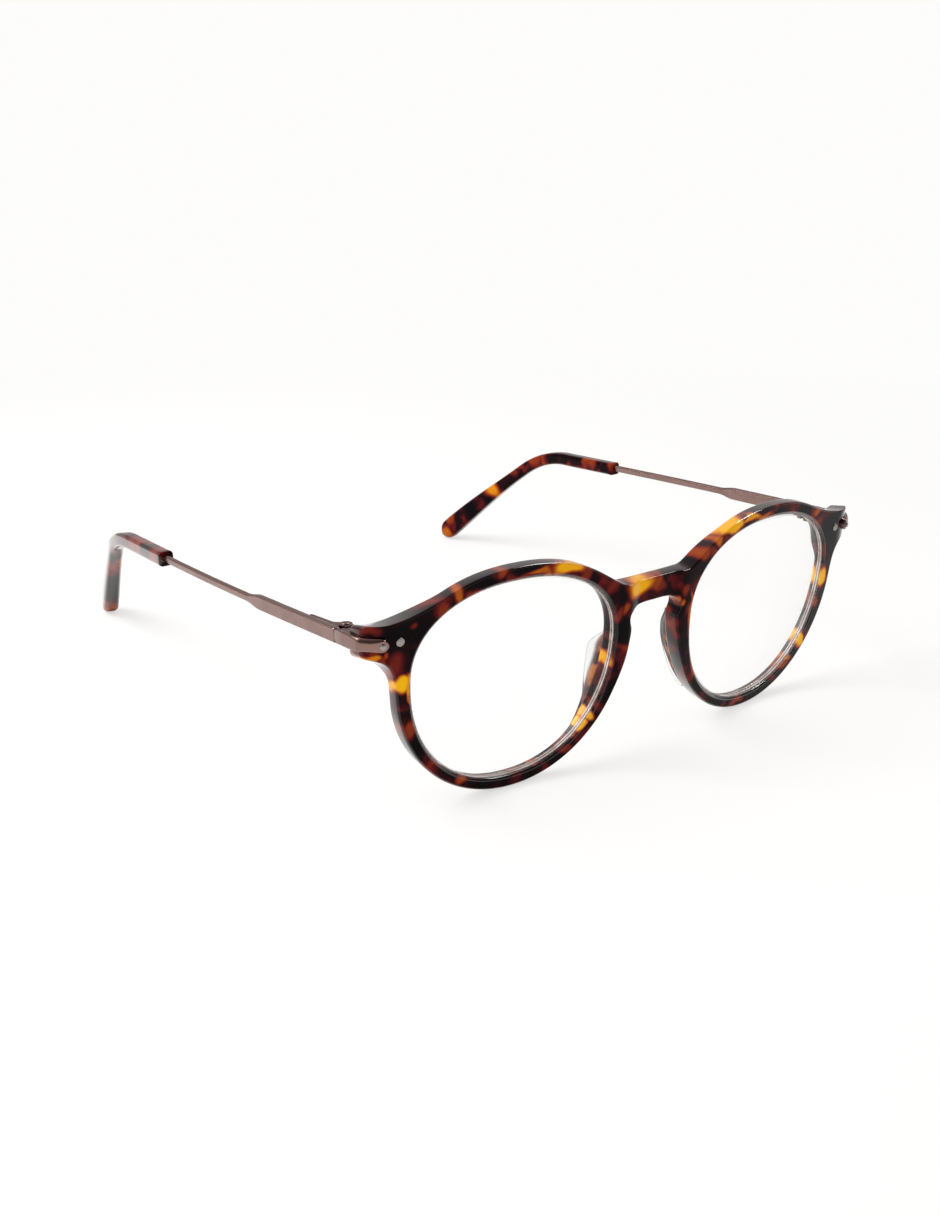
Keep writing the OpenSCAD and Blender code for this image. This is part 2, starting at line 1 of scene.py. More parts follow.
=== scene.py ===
# Round reading glasses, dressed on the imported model: polished mottled acetate, clear lenses and pads,
# satin metal temples with acetate tips. Sizes are in millimetres, and become metres in each mesh.
import bpy
import bmesh
import math
from mathutils import Vector, Matrix
from mathutils.geometry import delaunay_2d_cdt


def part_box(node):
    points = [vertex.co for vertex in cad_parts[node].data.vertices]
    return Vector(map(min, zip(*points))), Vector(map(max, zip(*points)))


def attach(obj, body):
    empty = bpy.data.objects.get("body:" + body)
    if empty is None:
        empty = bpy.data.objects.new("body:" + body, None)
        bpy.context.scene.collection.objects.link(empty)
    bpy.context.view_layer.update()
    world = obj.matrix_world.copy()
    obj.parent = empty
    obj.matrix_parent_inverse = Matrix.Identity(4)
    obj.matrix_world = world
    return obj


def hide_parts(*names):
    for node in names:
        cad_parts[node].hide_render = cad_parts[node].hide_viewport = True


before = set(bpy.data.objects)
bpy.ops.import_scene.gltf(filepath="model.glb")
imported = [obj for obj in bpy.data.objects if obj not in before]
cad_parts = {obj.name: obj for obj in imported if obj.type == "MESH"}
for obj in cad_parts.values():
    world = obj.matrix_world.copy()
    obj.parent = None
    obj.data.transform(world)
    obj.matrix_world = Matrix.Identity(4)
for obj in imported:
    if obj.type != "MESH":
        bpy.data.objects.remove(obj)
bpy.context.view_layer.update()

# Camera: stands to the wearer's right front, a little above, as in the photograph.
film_mm, picture_high, focal_pixels = 36, 1215, 1342.875
camera_place = (-0.175475, -0.254943, 0.119716)
yaw, pitch, roll = math.radians(35.957), math.radians(-19.631), math.radians(-0.696)
camera_data = bpy.data.cameras.new("camera")
camera_data.sensor_width = film_mm
camera_data.lens = focal_pixels / picture_high * film_mm
camera_data.clip_start = 0.01
camera = bpy.data.objects.new("camera", camera_data)
bpy.context.scene.collection.objects.link(camera)
ahead = Vector((math.sin(yaw) * math.cos(pitch), math.cos(yaw) * math.cos(pitch), math.sin(pitch)))
level = Vector((math.cos(yaw), -math.sin(yaw), 0))
upward = level.cross(ahead)
right_edge = math.cos(roll) * level + math.sin(roll) * upward
top_edge = -math.sin(roll) * level + math.cos(roll) * upward
turn = Matrix((right_edge, top_edge, -ahead)).transposed()
camera.matrix_world = Matrix.Translation(camera_place) @ turn.to_4x4()
bpy.context.scene.camera = camera
bpy.context.scene.view_settings.view_transform = "Standard"


# Studio: a pale table in a white room, under a wide soft light from behind the glasses and a lamp that
# only shows in their gloss. The table keeps the glasses' soft shadow.
class Wire:
    """A socket of a node tree. Arithmetic on it adds Math nodes."""

    def __init__(self, tree, socket=None):
        self.tree, self.socket = tree, socket

    def node(self, kind, inputs=None, settings=None, out=0):
        made = self.tree.nodes.new(kind)
        for key, value in (settings or {}).items():
            if key == "stops":
                ramp = made.color_ramp
                while len(ramp.elements) < len(value):
                    ramp.elements.new(1)
                for element, (place, colour) in zip(ramp.elements, value):
                    element.position, element.color = place, (*colour, 1)
            else:
                setattr(made, key, value)
        for key, value in (inputs or {}).items():
            if isinstance(value, Wire):
                self.tree.links.new(value.socket, made.inputs[key])
            else:
                made.inputs[key].default_value = value
        return Wire(self.tree, made.outputs[out] if made.outputs else None)

    def maths(self, operation, a, b=0.0, clamp=False):
        return self.node("ShaderNodeMath", {0: a, 1: b}, {"operation": operation, "use_clamp": clamp})

    def vector(self, operation, a, b=(0, 0, 0), out=0):
        return self.node("ShaderNodeVectorMath", {0: a, 1: b}, {"operation": operation}, out)

    def noise(self, place, scale, detail=2.0, roughness=0.5, out=0):
        inputs = {"Vector": place, "Scale": scale, "Detail": detail, "Roughness": roughness}
        return self.node("ShaderNodeTexNoise", inputs, None, out)

    def between(self, value, low, high, to_low=0.0, to_high=1.0):
        """A smooth step: to_low where the value is at low, to_high where it is at high."""
        inputs = {"Value": value, "From Min": low, "From Max": high, "To Min": to_low, "To Max": to_high}
        return self.node("ShaderNodeMapRange", inputs, {"interpolation_type": "SMOOTHSTEP"})

    def ramp(self, value, *stops):
        return self.node("ShaderNodeValToRGB", {"Fac": value}, {"stops": stops})

    def blend(self, share, first, second):
        return self.node("ShaderNodeMix", {0: share, 6: first, 7: second}, {"data_type": "RGBA"}, 2)

    def surface(self, inputs):
        shader = self.node("ShaderNodeBsdfPrincipled", inputs)
        self.node("ShaderNodeOutputMaterial", {"Surface": shader})

    def __add__(self, other):
        return self.maths("ADD", self, other)

    def __sub__(self, other):
        return self.maths("SUBTRACT", self, other)

    def __rsub__(self, other):
        return self.maths("SUBTRACT", other, self)

    def __mul__(self, other):
        return self.maths("MULTIPLY", self, other)

    __radd__, __rmul__ = __add__, __mul__


def blank_material(name):
    made = bpy.data.materials.new(name)
    made.use_nodes = True
    made.node_tree.nodes.clear()
    return made, Wire(made.node_tree)


paper_white, rosy_white = (0.985, 0.98, 0.97, 1), (1.0, 0.93, 0.925, 1)
table_half, table_z = 3, -0.0002
shadow_from, shadow_to, glow_near, glow_far = 0.10, 0.45, 0.62, 1.0
table_white, wire = blank_material("table_white")
table_place = wire.node("ShaderNodeTexCoord", out="Object")
table_tone = wire.between(wire.noise(table_place, 3), 0.3, 0.7, 0.88, 0.91)
table_tones = {"Red": table_tone, "Green": table_tone * 0.995, "Blue": table_tone * 0.985}
table_paper = wire.node("ShaderNodeBsdfDiffuse", {"Color": wire.node("ShaderNodeCombineColor", table_tones)})
table_glow = wire.node("ShaderNodeEmission", {"Color": paper_white, "Strength": 1.0})
away = wire.vector("LENGTH", table_place, out="Value")
glow_share = wire.between(away, shadow_from, shadow_to, glow_near, glow_far)
seen = wire.node("ShaderNodeLightPath", out="Is Camera Ray") * glow_share
table_mix = wire.node("ShaderNodeMixShader", {0: seen, 1: table_paper, 2: table_glow})
wire.node("ShaderNodeOutputMaterial", {"Surface": table_mix})
table_corners = [(x * table_half, y * table_half, table_z) for x, y in ((-1, -1), (1, -1), (1, 1), (-1, 1))]
table_data = bpy.data.meshes.new("table")
table_data.from_pydata(table_corners, [], [(0, 1, 2, 3)])
table_data.materials.append(table_white)
sheet = bpy.data.objects.new("table", table_data)
bpy.context.scene.collection.objects.link(sheet)

# The room shines evenly on the glasses, and the camera sees it white. In their gloss its front is dim.
even_level, gloss_dim, gloss_bright, dim_from, bright_from = 0.74, 0.12, 0.55, -0.6, 0.3
room = bpy.context.scene.world or bpy.data.worlds.new("room")
bpy.context.scene.world = room
room.use_nodes = True
room.node_tree.nodes.clear()
wire = Wire(room.node_tree)
camera_ray, glossy_ray, clear_ray = (
    wire.node("ShaderNodeLightPath", out=f"Is {kind} Ray") for kind in ("Camera", "Glossy", "Transmission"))
mirrored = wire.maths("MAXIMUM", glossy_ray, clear_ray)
behind = wire.node("ShaderNodeSeparateXYZ", {0: wire.node("ShaderNodeTexCoord", out="Generated")}, out="Y")
mirrored_level = wire.between(behind, dim_from, bright_from, gloss_dim, gloss_bright)
lit_level = mirrored * mirrored_level + (1 - mirrored) * even_level
room_level = wire.maths("MAXIMUM", camera_ray, lit_level)
room_colour = wire.blend(mirrored, paper_white, rosy_white)
room_light = wire.node("ShaderNodeBackground", {"Color": room_colour, "Strength": room_level})
wire.node("ShaderNodeOutputWorld", {"Surface": room_light})


def soft_light(name, place, wide, watts):
    """A square lamp that looks at the middle of the table."""
    data = bpy.data.lights.new(name, "AREA")
    data.shape, data.size, data.size_y, data.energy = "RECTANGLE", wide, wide, watts
    lamp = bpy.data.objects.new(name, data)
    bpy.context.scene.collection.objects.link(lamp)
    lamp.location = place
    lamp.rotation_euler = (-Vector(place)).to_track_quat("-Z", "Y").to_euler()
    return lamp


soft_light("window_light", (-0.5, 0.3, 0.62), 0.6, 6.3)
soft_light("edge_light", (0.5, -0.28, 0.67), 0.26, 4.5).visible_diffuse = False

# Front: one plate of mottled acetate, milled with two grooved lens openings and a keyhole bridge,
# then tumbled until every edge is round and polished. The end blocks bend back to the hinges.
lens_w, lens_up, lens_down = 44.7, 15.8, 24.7
bridge_w, bridge_top, bridge_h, bridge_recess, bridge_t = 20.6, 10.3, 5, 0.9, 3.1
nose_gap, rim_top, rim_side, rim_bottom, rim_t = 11.8, 2.7, 3.1, 2.5, 2.8
end_t, edge_r, end_l, end_h, end_top, end_bend = 6.1, 0.6, 5.8, 6.4, 12, 2.4
wrap, lean = math.radians(5.2), math.radians(4.8)
lens_x = bridge_w / 2 + lens_w / 2
# From the plate's own frame to the middle of the whole object.
mid_y = 73.1069
half_w = bridge_w / 2 + lens_w + rim_side + end_l
keyhole_top = bridge_top - bridge_h
end_bottom = end_top - end_h
flat_u, plane_u = 3, bridge_w / 2 - 0.65
bend_from = half_w - 5
groove_d, groove_in, groove_half = rim_t / 2, 0.5, 0.6
widest_z = (lens_down + rim_bottom) * math.cos(lean) - edge_r * math.sin(lean)
nose_v, flare_v, nasal_v, flare_power = 0.6, -12, -19, 1.3
# Where the face comes forward from the bridge, and the back thins to the rim and thickens to the end block.
recess_u, recess_blend, rim_u, rim_blend = 4, 3.5, 11, 9
block_blend, block_v, block_rise = 16, 1, 5
sag, sag_from, sag_blend = 0.26, 14, 10
# The powers of the superellipses of opening and rim, above and below the widest line.
lens_power_up, lens_power_down, rim_power_up, rim_power_down = 2.22, 2.15, 2.2, 2.04


def smooth(t):
    c = min(1, max(0, t))
    return c * c * (3 - 2 * c)


def mix(a, b, t):
    return a + (b - a) * t


def face_plane(u):
    a, blend = abs(u), plane_u - flat_u
    out = a if a >= plane_u else max(0, a - flat_u) ** 2 / (2 * blend) + plane_u - blend / 2
    return (out - lens_x) * math.tan(wrap)


def face_front(u):
    bend = end_bend * (max(0, abs(u) - bend_from) / (half_w - bend_from)) ** 2
    return face_plane(u) + bridge_recess * (1 - smooth((abs(u) - recess_u) / recess_blend)) + bend


def face_back(u, v):
    a = abs(u)
    rim = mix(bridge_recess + bridge_t, rim_t, smooth((a - rim_u) / rim_blend))
    block = smooth((a - half_w + block_blend) / block_blend) * smooth((v - block_v) / block_rise)
    return face_plane(u) + mix(rim, end_t, block)


def end_sag(u):
    return sag * smooth((abs(u) - half_w + sag_from) / sag_blend)


def stand(u, d, v):
    """Leans a point: u out from the middle line, d deep behind the face, and v above the widest line."""
    return (u, d * math.cos(lean) - v * math.sin(lean), widest_z + d * math.sin(lean) + v * math.cos(lean))


def rounded(t, a, b, n):
    c, s = math.cos(math.radians(t)), math.sin(math.radians(t))
    return Vector((lens_x + a * math.copysign(abs(c) ** (2 / n), c), b * math.copysign(abs(s) ** (2 / n), s)))


def lens_curve(t):
    b, n = (lens_up, lens_power_up) if math.sin(math.radians(t)) > 0 else (lens_down, lens_power_down)
    return rounded(t, lens_w / 2, b, n)


def rim_side_curve(up):
    return (lens_up + rim_top, rim_power_up) if up else (lens_down + rim_bottom, rim_power_down)


def rim_curve(t):
    return rounded(t, lens_w / 2 + rim_side, *rim_side_curve(math.sin(math.radians(t)) > 0))


def rim_half(v):
    b, n = rim_side_curve(v > 0)
    return (lens_w / 2 + rim_side) * (1 - min(1, abs(v) / b) ** n) ** (1 / n)


def nasal_u(v):
    flare = lens_x - rim_half(nose_v) - nose_gap / 2
    return lens_x - rim_half(v) - flare * (max(0, v - flare_v) / (nose_v - flare_v)) ** flare_power


def spline(p, steps):
    points = []
    for i in range(len(p) - 1):
        a, b, c, d = p[max(0, i - 1)], p[i], p[i + 1], p[min(len(p) - 1, i + 2)]
        for k in range(steps):
            t = k / steps
            second, third = 2 * a - 5 * b + 4 * c - d, 3 * b - a - 3 * c + d
            points.append(0.5 * (2 * b + (c - a) * t + second * t * t + third * t ** 3))
    return points


def bezier(a, b, c, d, steps):
    shares = [i / steps for i in range(steps)]
    return [(1 - t) ** 3 * a + 3 * (1 - t) ** 2 * t * b + 3 * (1 - t) * t * t * c + t ** 3 * d
            for t in shares]


def corner_arc(u, v, radius, angles):
    turns = [math.radians(t) for t in angles]
    return [Vector((u + radius * math.cos(t), v + radius * math.sin(t))) for t in turns]


def even(loop, step):
    """The closed loop with points an even step apart."""
    ends = loop[1:] + loop[:1]
    total = sum((b - a).length for a, b in zip(loop, ends))
    count = round(total / step)
    gap, points, need = total / count, [], 0.0
    for a, b in zip(loop, ends):
        length = (b - a).length
        while need < length and len(points) < count:
            points.append(a.lerp(b, need / length))
            need += gap
        need -= length
    return points


def soften(loop, times):
    for _ in range(times):
        loop = [(loop[i - 1] + 2 * p + loop[(i + 1) % len(loop)]) / 4 for i, p in enumerate(loop)]
    return loop


def inset(loop, by):
    """The loop moved to its left by a distance: inwards where it runs anticlockwise."""
    moved = []
    for i, p in enumerate(loop):
        d1, d2 = (p - loop[i - 1]).normalized(), (loop[(i + 1) % len(loop)] - p).normalized()
        n1, n2 = Vector((-d1.y, d1.x)), Vector((-d2.y, d2.x))
        moved.append(p + by * (n1 + n2) / max(0.6, 1 + n1.dot(n2)))
    return moved


def mirror(loop):
    return [Vector((-p.x, p.y)) for p in loop]


# Half the outline, from the keyhole's top round the rim, over the end block and back to the bridge's top.
nasal_angle, side_angle, shoulder_angle, brow_angle = 228, 350, 58, 126
low_corner, top_corner, outline_step, opening_step = 0.8, 0.7, 0.42, 0.5
nose_half = nose_gap / 2
keyhole = [Vector(p) for p in (
    (0, keyhole_top), (nose_half * 0.45, keyhole_top), (nose_half * 0.85, keyhole_top - 0.4),
    (nose_half + 0.7, keyhole_top - 1.7), (nose_half + 0.75, nose_v + 1.7), (nose_half, nose_v))]
side_p, shoulder_p, brow_p = (rim_curve(t) for t in (side_angle, shoulder_angle, brow_angle))
end_low_p, end_top_p = Vector((half_w - low_corner, end_bottom)), Vector((half_w - top_corner, end_top))
bridge_p = Vector((bridge_w / 2 - 2, bridge_top))
half_outline = spline(keyhole, 8)
half_outline += [Vector((nasal_u(v), v)) for v in (mix(nose_v, nasal_v, i / 32) for i in range(33))]
half_outline += [rim_curve(t) for t in range(nasal_angle, side_angle - 1)]
half_outline += bezier(side_p, side_p + Vector((0.7, 7.6)), end_low_p - Vector((4.6, 0.6)), end_low_p, 24)
half_outline += corner_arc(half_w - low_corner, end_bottom + low_corner, low_corner, range(-90, 1, 10))
half_outline += corner_arc(half_w - top_corner, end_top - top_corner, top_corner, range(0, 81, 10))
shoulder_aim = shoulder_p + Vector((4.2, -1.86))
half_outline += bezier(end_top_p, end_top_p - Vector((7, 0.1)), shoulder_aim, shoulder_p, 24)
half_outline += [rim_curve(t) for t in range(shoulder_angle, brow_angle)]
half_outline += bezier(brow_p, brow_p + Vector((-3.2, -1.5)), bridge_p + Vector((1.6, 0.4)), bridge_p, 20)
half_outline += [bridge_p, Vector((0, bridge_top))]
outline = soften(even(half_outline + mirror(half_outline[-2:0:-1]), outline_step), 3)
opening = even([lens_curve(t) for t in range(360)], opening_step)
openings = [opening, mirror(opening[::-1])]
front_round, rim_round, back_round = 0.42, 0.68, 0.5
arc = [math.radians(a) for a in (0, 18, 36, 54, 72, 90)]


def at_depth(p, from_front, from_back, share):
    d = mix(face_front(p.x) + from_front, face_back(p.x, p.y) - from_back, share)
    return stand(p.x, d, p.y - end_sag(p.x) * (d - face_front(p.x)))


def edge_rings(loop, away, groove):
    """Rings round an edge from face to back. away is 1 where the plate lies to the loop's left, else -1."""
    rings, rounding = [], rim_round if groove else front_round
    for a in arc:
        moved = inset(loop, away * rounding * (1 - math.sin(a)))
        rings.append([at_depth(p, rounding * (1 - math.cos(a)), 0, 0) for p in moved])
    if groove:
        for depth, out in ((groove_d - groove_half, 0), (groove_d, groove_in), (groove_d + groove_half, 0)):
            rings.append([stand(p.x, face_plane(p.x) + depth, p.y) for p in inset(loop, away * out)])
    for a in reversed(arc):
        moved = inset(loop, away * back_round * (1 - math.sin(a)))
        rings.append([at_depth(p, 0, back_round * (1 - math.cos(a)), 1) for p in moved])
    return rings


def inside(p, loop):
    found = False
    for i, a in enumerate(loop):
        b = loop[i - 1]
        if (a.y > p.y) != (b.y > p.y) and p.x < (b.x - a.x) * (p.y - a.y) / (b.y - a.y) + a.x:
            found = not found
    return found


def in_metres(p):
    return p[0] / 1000, (p[1] - mid_y) / 1000, p[2] / 1000


def add_piece(name, points, faces, material, crease, rise=None):
    """A piece from points in millimetres. rise is a share for each point, which the materials read."""
    work = bmesh.new()
    layer = work.verts.layers.float.new("rise") if rise else None
    made = [work.verts.new(in_metres(p)) for p in points]
    for vertex, share in zip(made, rise or []):
        vertex[layer] = share
    for face in faces:
        work.faces.new([made[i] for i in face])
    bmesh.ops.remove_doubles(work, verts=work.verts, dist=1e-7)
    bmesh.ops.recalc_face_normals(work, faces=work.faces)
    data = bpy.data.meshes.new(name)
    work.to_mesh(data)
    work.free()
    data.materials.append(material)
    data.shade_smooth()
    data.set_sharp_from_angle(angle=math.radians(crease))
    piece = bpy.data.objects.new(name, data)
    bpy.context.scene.collection.objects.link(piece)
    return piece


def ring_faces(count, n, first=0):
    starts = [first + i * n for i in range(count - 1)]
    return [(at + k, at + (k + 1) % n, at + n + (k + 1) % n, at + n + k) for at in starts for k in range(n)]


def skinned(name, rings, side, material, crease, rise=None):
    """A piece skinned over rings of points, with both ends closed. side is -1 for the wearer's right."""
    n = len(rings[0])
    points = [(side * p[0], p[1], p[2]) for ring in rings for p in ring]
    faces = ring_faces(len(rings), n) + [tuple(range(n)), tuple((len(rings) - 1) * n + k for k in range(n))]
    return add_piece(name, points, faces, material, crease, rise)


def patches(wire, place, spots):
    """The highest tone of patches in the sheet. A spot has its centre, its half sizes, of which 0 is endless,
    and its tone. Amber patches have crisper edges than red and brown ones."""
    tone, reach, amber_from = None, 1.15, 0.75
    for centre, size, value in spots:
        scale = tuple(1000 / r / reach if r else 0.0 for r in size)
        shift = tuple(-c / 1000 * k for c, k in zip(centre, scale))
        moved = {0: place, 1: scale, 2: shift}
        scaled = wire.node("ShaderNodeVectorMath", moved, {"operation": "MULTIPLY_ADD"})
        outer, inner = (1.36, 0.46) if value > amber_from else (1.42, 0.3)
        mask = wire.between(wire.vector("LENGTH", scaled, out="Value"), outer, inner, 0.0, value)
        tone = mask if tone is None else wire.maths("MAXIMUM", tone, mask)
    return tone


def acetate(name, light_spots, dark_spots, seed, cloud_level=0.42):
    """Polished acetate, cast in clouds from near black through red brown to amber and yellow."""
    material, wire = blank_material(name)
    place = wire.node("ShaderNodeTexCoord", out="Object")
    sway_m = 0.0045
    sway = wire.vector("SUBTRACT", wire.noise(place, 190, 1.2, out="Color"), (0.5, 0.5, 0.5))
    warped = wire.vector("ADD", place, wire.vector("MULTIPLY", sway, (sway_m, sway_m, sway_m)))
    clouds = wire.noise(wire.vector("ADD", warped, (seed, seed * 0.7, seed * 1.3)), 210, 1.6)
    base = wire.between(clouds, 0.37, 0.74, 0.03, cloud_level) * (1 - patches(wire, warped, dark_spots))
    mottle = wire.maths("MAXIMUM", base, patches(wire, warped, light_spots))
    fine = wire.noise(place, 900, 2.0, 0.6)
    colour = wire.ramp(
        wire.maths("ADD", mottle, (fine - 0.5) * 0.06, clamp=True),
        (0.0, (0.0022, 0.0009, 0.0014)), (0.16, (0.014, 0.0018, 0.0030)), (0.32, (0.095, 0.006, 0.007)),
        (0.48, (0.235, 0.032, 0.006)), (0.66, (0.45, 0.115, 0.006)), (0.84, (0.76, 0.32, 0.005)),
        (1.0, (0.90, 0.47, 0.006)))
    ripple = wire.noise(place, 55, 1.0, 0.4)
    facing = wire.node("ShaderNodeLayerWeight", {"Blend": 0.5}, out="Facing")
    edge = wire.node("ShaderNodeAttribute", None, {"attribute_name": "rise"}, "Fac")
    edge_gloss = wire.maths("MINIMUM", edge, 1.0) * wire.between(facing, 0.15, 0.5, 0.28, 0.75)
    gloss = wire.between(facing, 0.40, 0.80, 0.0, 0.85) + edge_gloss
    wire.surface({
        "Base Color": colour, "Roughness": wire.between(fine, 0.3, 0.7, 0.06, 0.10), "IOR": 1.12,
        "Coat Weight": wire.maths("MINIMUM", gloss, 1.0), "Coat IOR": 2.2, "Coat Roughness": 0.06,
        "Normal": wire.node("ShaderNodeBump", {"Height": ripple, "Strength": 0.12, "Distance": 0.0004})})
    return material


# Clouds on the face: from the middle line, above the widest line, half width, half height, and tone.
front_light = [
    (-57.2, 0.1, 1.8, 1.6, 0.98), (-55.7, -0.4, 0.6, 2.2, 0.80), (-57.8, 4.2, 2.2, 3.0, 0.36),
    (-62.8, 6.3, 1.9, 0.9, 0.72), (-59.8, 6.8, 0.8, 1.2, 0.50), (-60.6, 5.6, 1.2, 1.4, 0.40),
    (-62.4, 11.3, 1.4, 1.0, 0.36), (-54.5, 12.2, 0.7, 0.7, 0.36), (-49.2, 13.8, 1.8, 1.7, 0.42),
    (-45.3, 15.2, 1.2, 1.6, 0.60), (-42.3, 15.2, 1.8, 0.8, 0.42), (-37.0, 18.0, 1.6, 1.0, 0.48),
    (-35.6, 16.4, 1.2, 1.0, 0.34), (-29.0, 16.3, 3.4, 0.7, 0.62), (-22.6, 16.3, 3.4, 1.6, 0.90),
    (-19.0, 15.0, 1.3, 1.8, 0.40), (-12.0, 10.6, 1.6, 1.5, 0.36), (-9.6, 4.4, 1.5, 1.5, 0.40),
    (-7.6, 5.4, 1.4, 1.3, 0.50), (-4.1, 9.3, 3.9, 2.7, 0.93), (0.4, 8.6, 1.4, 2.0, 0.50),
    (-10.8, -5.4, 1.0, 1.4, 0.84), (-12.5, -3.4, 1.0, 1.4, 0.70), (-12.0, -9.0, 1.2, 1.8, 0.24),
    (-15.5, -16.3, 1.4, 1.2, 0.88), (-17.4, -17.7, 1.5, 1.1, 0.97), (-19.2, -19.0, 1.2, 0.8, 0.62),
    (-20.3, -21.6, 1.8, 1.2, 0.40), (-16.9, -20.2, 1.6, 1.4, 0.28), (-27.7, -23.9, 2.2, 0.7, 0.55),
    (-31.8, -25.7, 2.2, 1.0, 0.24), (-43.9, -22.8, 1.8, 1.2, 0.52), (-49.9, -17.4, 1.6, 1.8, 0.38),
    (-54.6, -9.4, 1.0, 2.2, 0.46), (-56.9, -3.6, 1.4, 1.6, 0.22), (1.0, 7.8, 2.0, 1.4, 0.40),
    (9.2, 14.4, 1.9, 1.2, 0.80), (12.8, 13.6, 1.3, 0.9, 0.5), (20.4, 16.6, 4.0, 1.9, 0.92),
    (16.6, 14.4, 1.8, 1.4, 0.66), (29.6, 16.5, 3.2, 0.8, 0.62), (12.6, 11.8, 2.0, 1.2, 0.50),
    (7.9, 5.7, 1.4, 1.5, 0.42), (5.0, 4.0, 1.4, 1.2, 0.66), (4.9, 0.8, 1.0, 1.2, 0.55),
    (7.0, 3.2, 0.9, 1.0, 0.60), (26.5, 16.9, 3.0, 0.9, 0.80), (9.9, 1.0, 0.5, 5.0, 0.62),
    (6.4, -9.5, 1.4, 2.2, 0.34), (12.3, -12.8, 1.1, 1.6, 0.52), (11.2, -14.0, 1.5, 1.5, 0.34),
    (16.2, -20.8, 2.2, 1.4, 0.28), (29.0, -25.5, 2.2, 1.1, 0.48), (45.7, -19.9, 1.8, 1.1, 0.68),
    (44.0, -21.4, 2.0, 1.0, 0.52), (50.6, -15.9, 1.7, 2.0, 1.0), (53.7, -7.5, 1.4, 1.8, 0.50),
    (55.6, -2.3, 1.6, 2.6, 1.0), (55.0, 3.8, 1.0, 2.2, 0.34), (49.9, 13.9, 1.4, 1.1, 0.56),
    (43.0, 16.5, 2.4, 1.0, 0.28), (37.2, 17.9, 2.0, 1.0, 0.24)]
front_dark = [
    (-56.5, 10.2, 5.0, 2.4, 1.0), (-40.5, 16.6, 2.6, 1.2, 1.0), (-31.6, 17.8, 3.2, 0.9, 1.0),
    (-8.0, 0.4, 1.8, 2.6, 1.0), (-10.2, -12.4, 1.8, 3.0, 0.9), (-38.5, -24.3, 3.2, 1.6, 0.9),
    (-23.8, -23.0, 2.0, 1.2, 0.8), (-53.4, -13.2, 1.8, 2.4, 0.9), (16.0, 14.6, 2.4, 1.4, 1.0),
    (9.6, 8.8, 2.0, 2.4, 0.8), (7.2, 1.8, 1.2, 2.6, 0.9), (8.8, -7.0, 1.4, 3.4, 0.9),
    (21.8, -23.2, 3.4, 1.4, 0.8), (34.6, -25.1, 3.2, 1.2, 0.9), (48.6, -19.0, 1.6, 1.4, 1.0),
    (52.4, -11.9, 1.6, 1.9, 1.0), (56.0, 9.0, 4.0, 3.0, 0.9)]
face_clouds = [[((u, 0, widest_z + v), (a, 0, b), t) for u, v, a, b, t in spots]
               for spots in (front_light, front_dark)]
front_acetate = acetate("front_acetate", *face_clouds, 3.1)


def sheet_mesh(round_in, hole_in):
    """Points and triangles of the plate's flat side, inside its rounded edges."""
    fine_row, grid_clear, grid_up, grid_half_w, grid_low, grid_high = 0.22, 0.55, 0.9, 64, -29, 17
    edge, holes = inset(outline, round_in), [inset(loop, -hole_in) for loop in openings]
    spots, edges = [], []
    for loop in [edge, *holes]:
        first = len(spots)
        spots += loop
        edges += [(first + i, first + (i + 1) % len(loop)) for i in range(len(loop))]
    spots += inset(outline, round_in + fine_row)
    for loop in openings:
        spots += inset(loop, -hole_in - fine_row)
    keep_in = inset(outline, round_in + grid_clear)[::3]
    keep_out = [inset(loop, -hole_in - grid_clear)[::3] for loop in openings]
    for row in range(grid_low, grid_high):
        for column in range(-grid_half_w, grid_half_w + 1):
            p = Vector((column + 0.5 * (row % 2), row * grid_up))
            if inside(p, keep_in) and not any(inside(p, loop) for loop in keep_out):
                spots.append(p)
    spots, _, triangles, _, _, _ = delaunay_2d_cdt(spots, edges, [], 0, 1e-5)
    kept = []
    for face in triangles:
        middle = sum((spots[i] for i in face), Vector((0, 0))) / len(face)
        if inside(middle, edge) and not any(inside(middle, loop) for loop in holes):
            kept.append(tuple(face))
    return spots, kept


def edge_shine(u):
    """The share of the edges' extra gloss at a place: less on the end blocks and the bridge."""
    block_u, block_fade, bridge_u, bridge_fade = 56, 3, 11, 6
    return ((1 - 0.7 * smooth((abs(u) - block_u) / block_fade))
            * (0.3 + 0.7 * smooth((abs(u) - bridge_u) / bridge_fade)))


points, faces, rise = [], [], []
outer_shine, opening_shine, groove_shine = 1.0, 1.8, 0.7
for share, round_in, hole_in in ((0, front_round, rim_round), (1, back_round, back_round)):
    spots, triangles = sheet_mesh(round_in, hole_in)
    faces += [tuple(len(points) + i for i in face) for face in triangles]
    points += [at_depth(p, 0, 0, share) for p in spots]
    rise += [0.0] * len(spots)
for loop, away, groove in ((outline, 1, False), (openings[0], -1, True), (openings[1], -1, True)):
    rings = edge_rings(loop, away, groove)
    faces += ring_faces(len(rings), len(loop), len(points))
    points += [p for ring in rings for p in ring]
    for k, ring in enumerate(rings):
        shine = outer_shine if not groove else opening_shine if k < len(arc) else groove_shine
        shine = 0.0 if k in (0, len(rings) - 1) else shine
        rise += [shine * edge_shine(p[0]) for p in ring]
used = sorted({i for face in faces for i in face})
places = {old: new for new, old in enumerate(used)}
plate_points, plate_rise = [points[i] for i in used], [rise[i] for i in used]
plate_faces = [tuple(places[i] for i in face) for face in faces]
front_plate = add_piece("front_plate", plate_points, plate_faces, front_acetate, 50, plate_rise)
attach(front_plate, "front")
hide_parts("front")

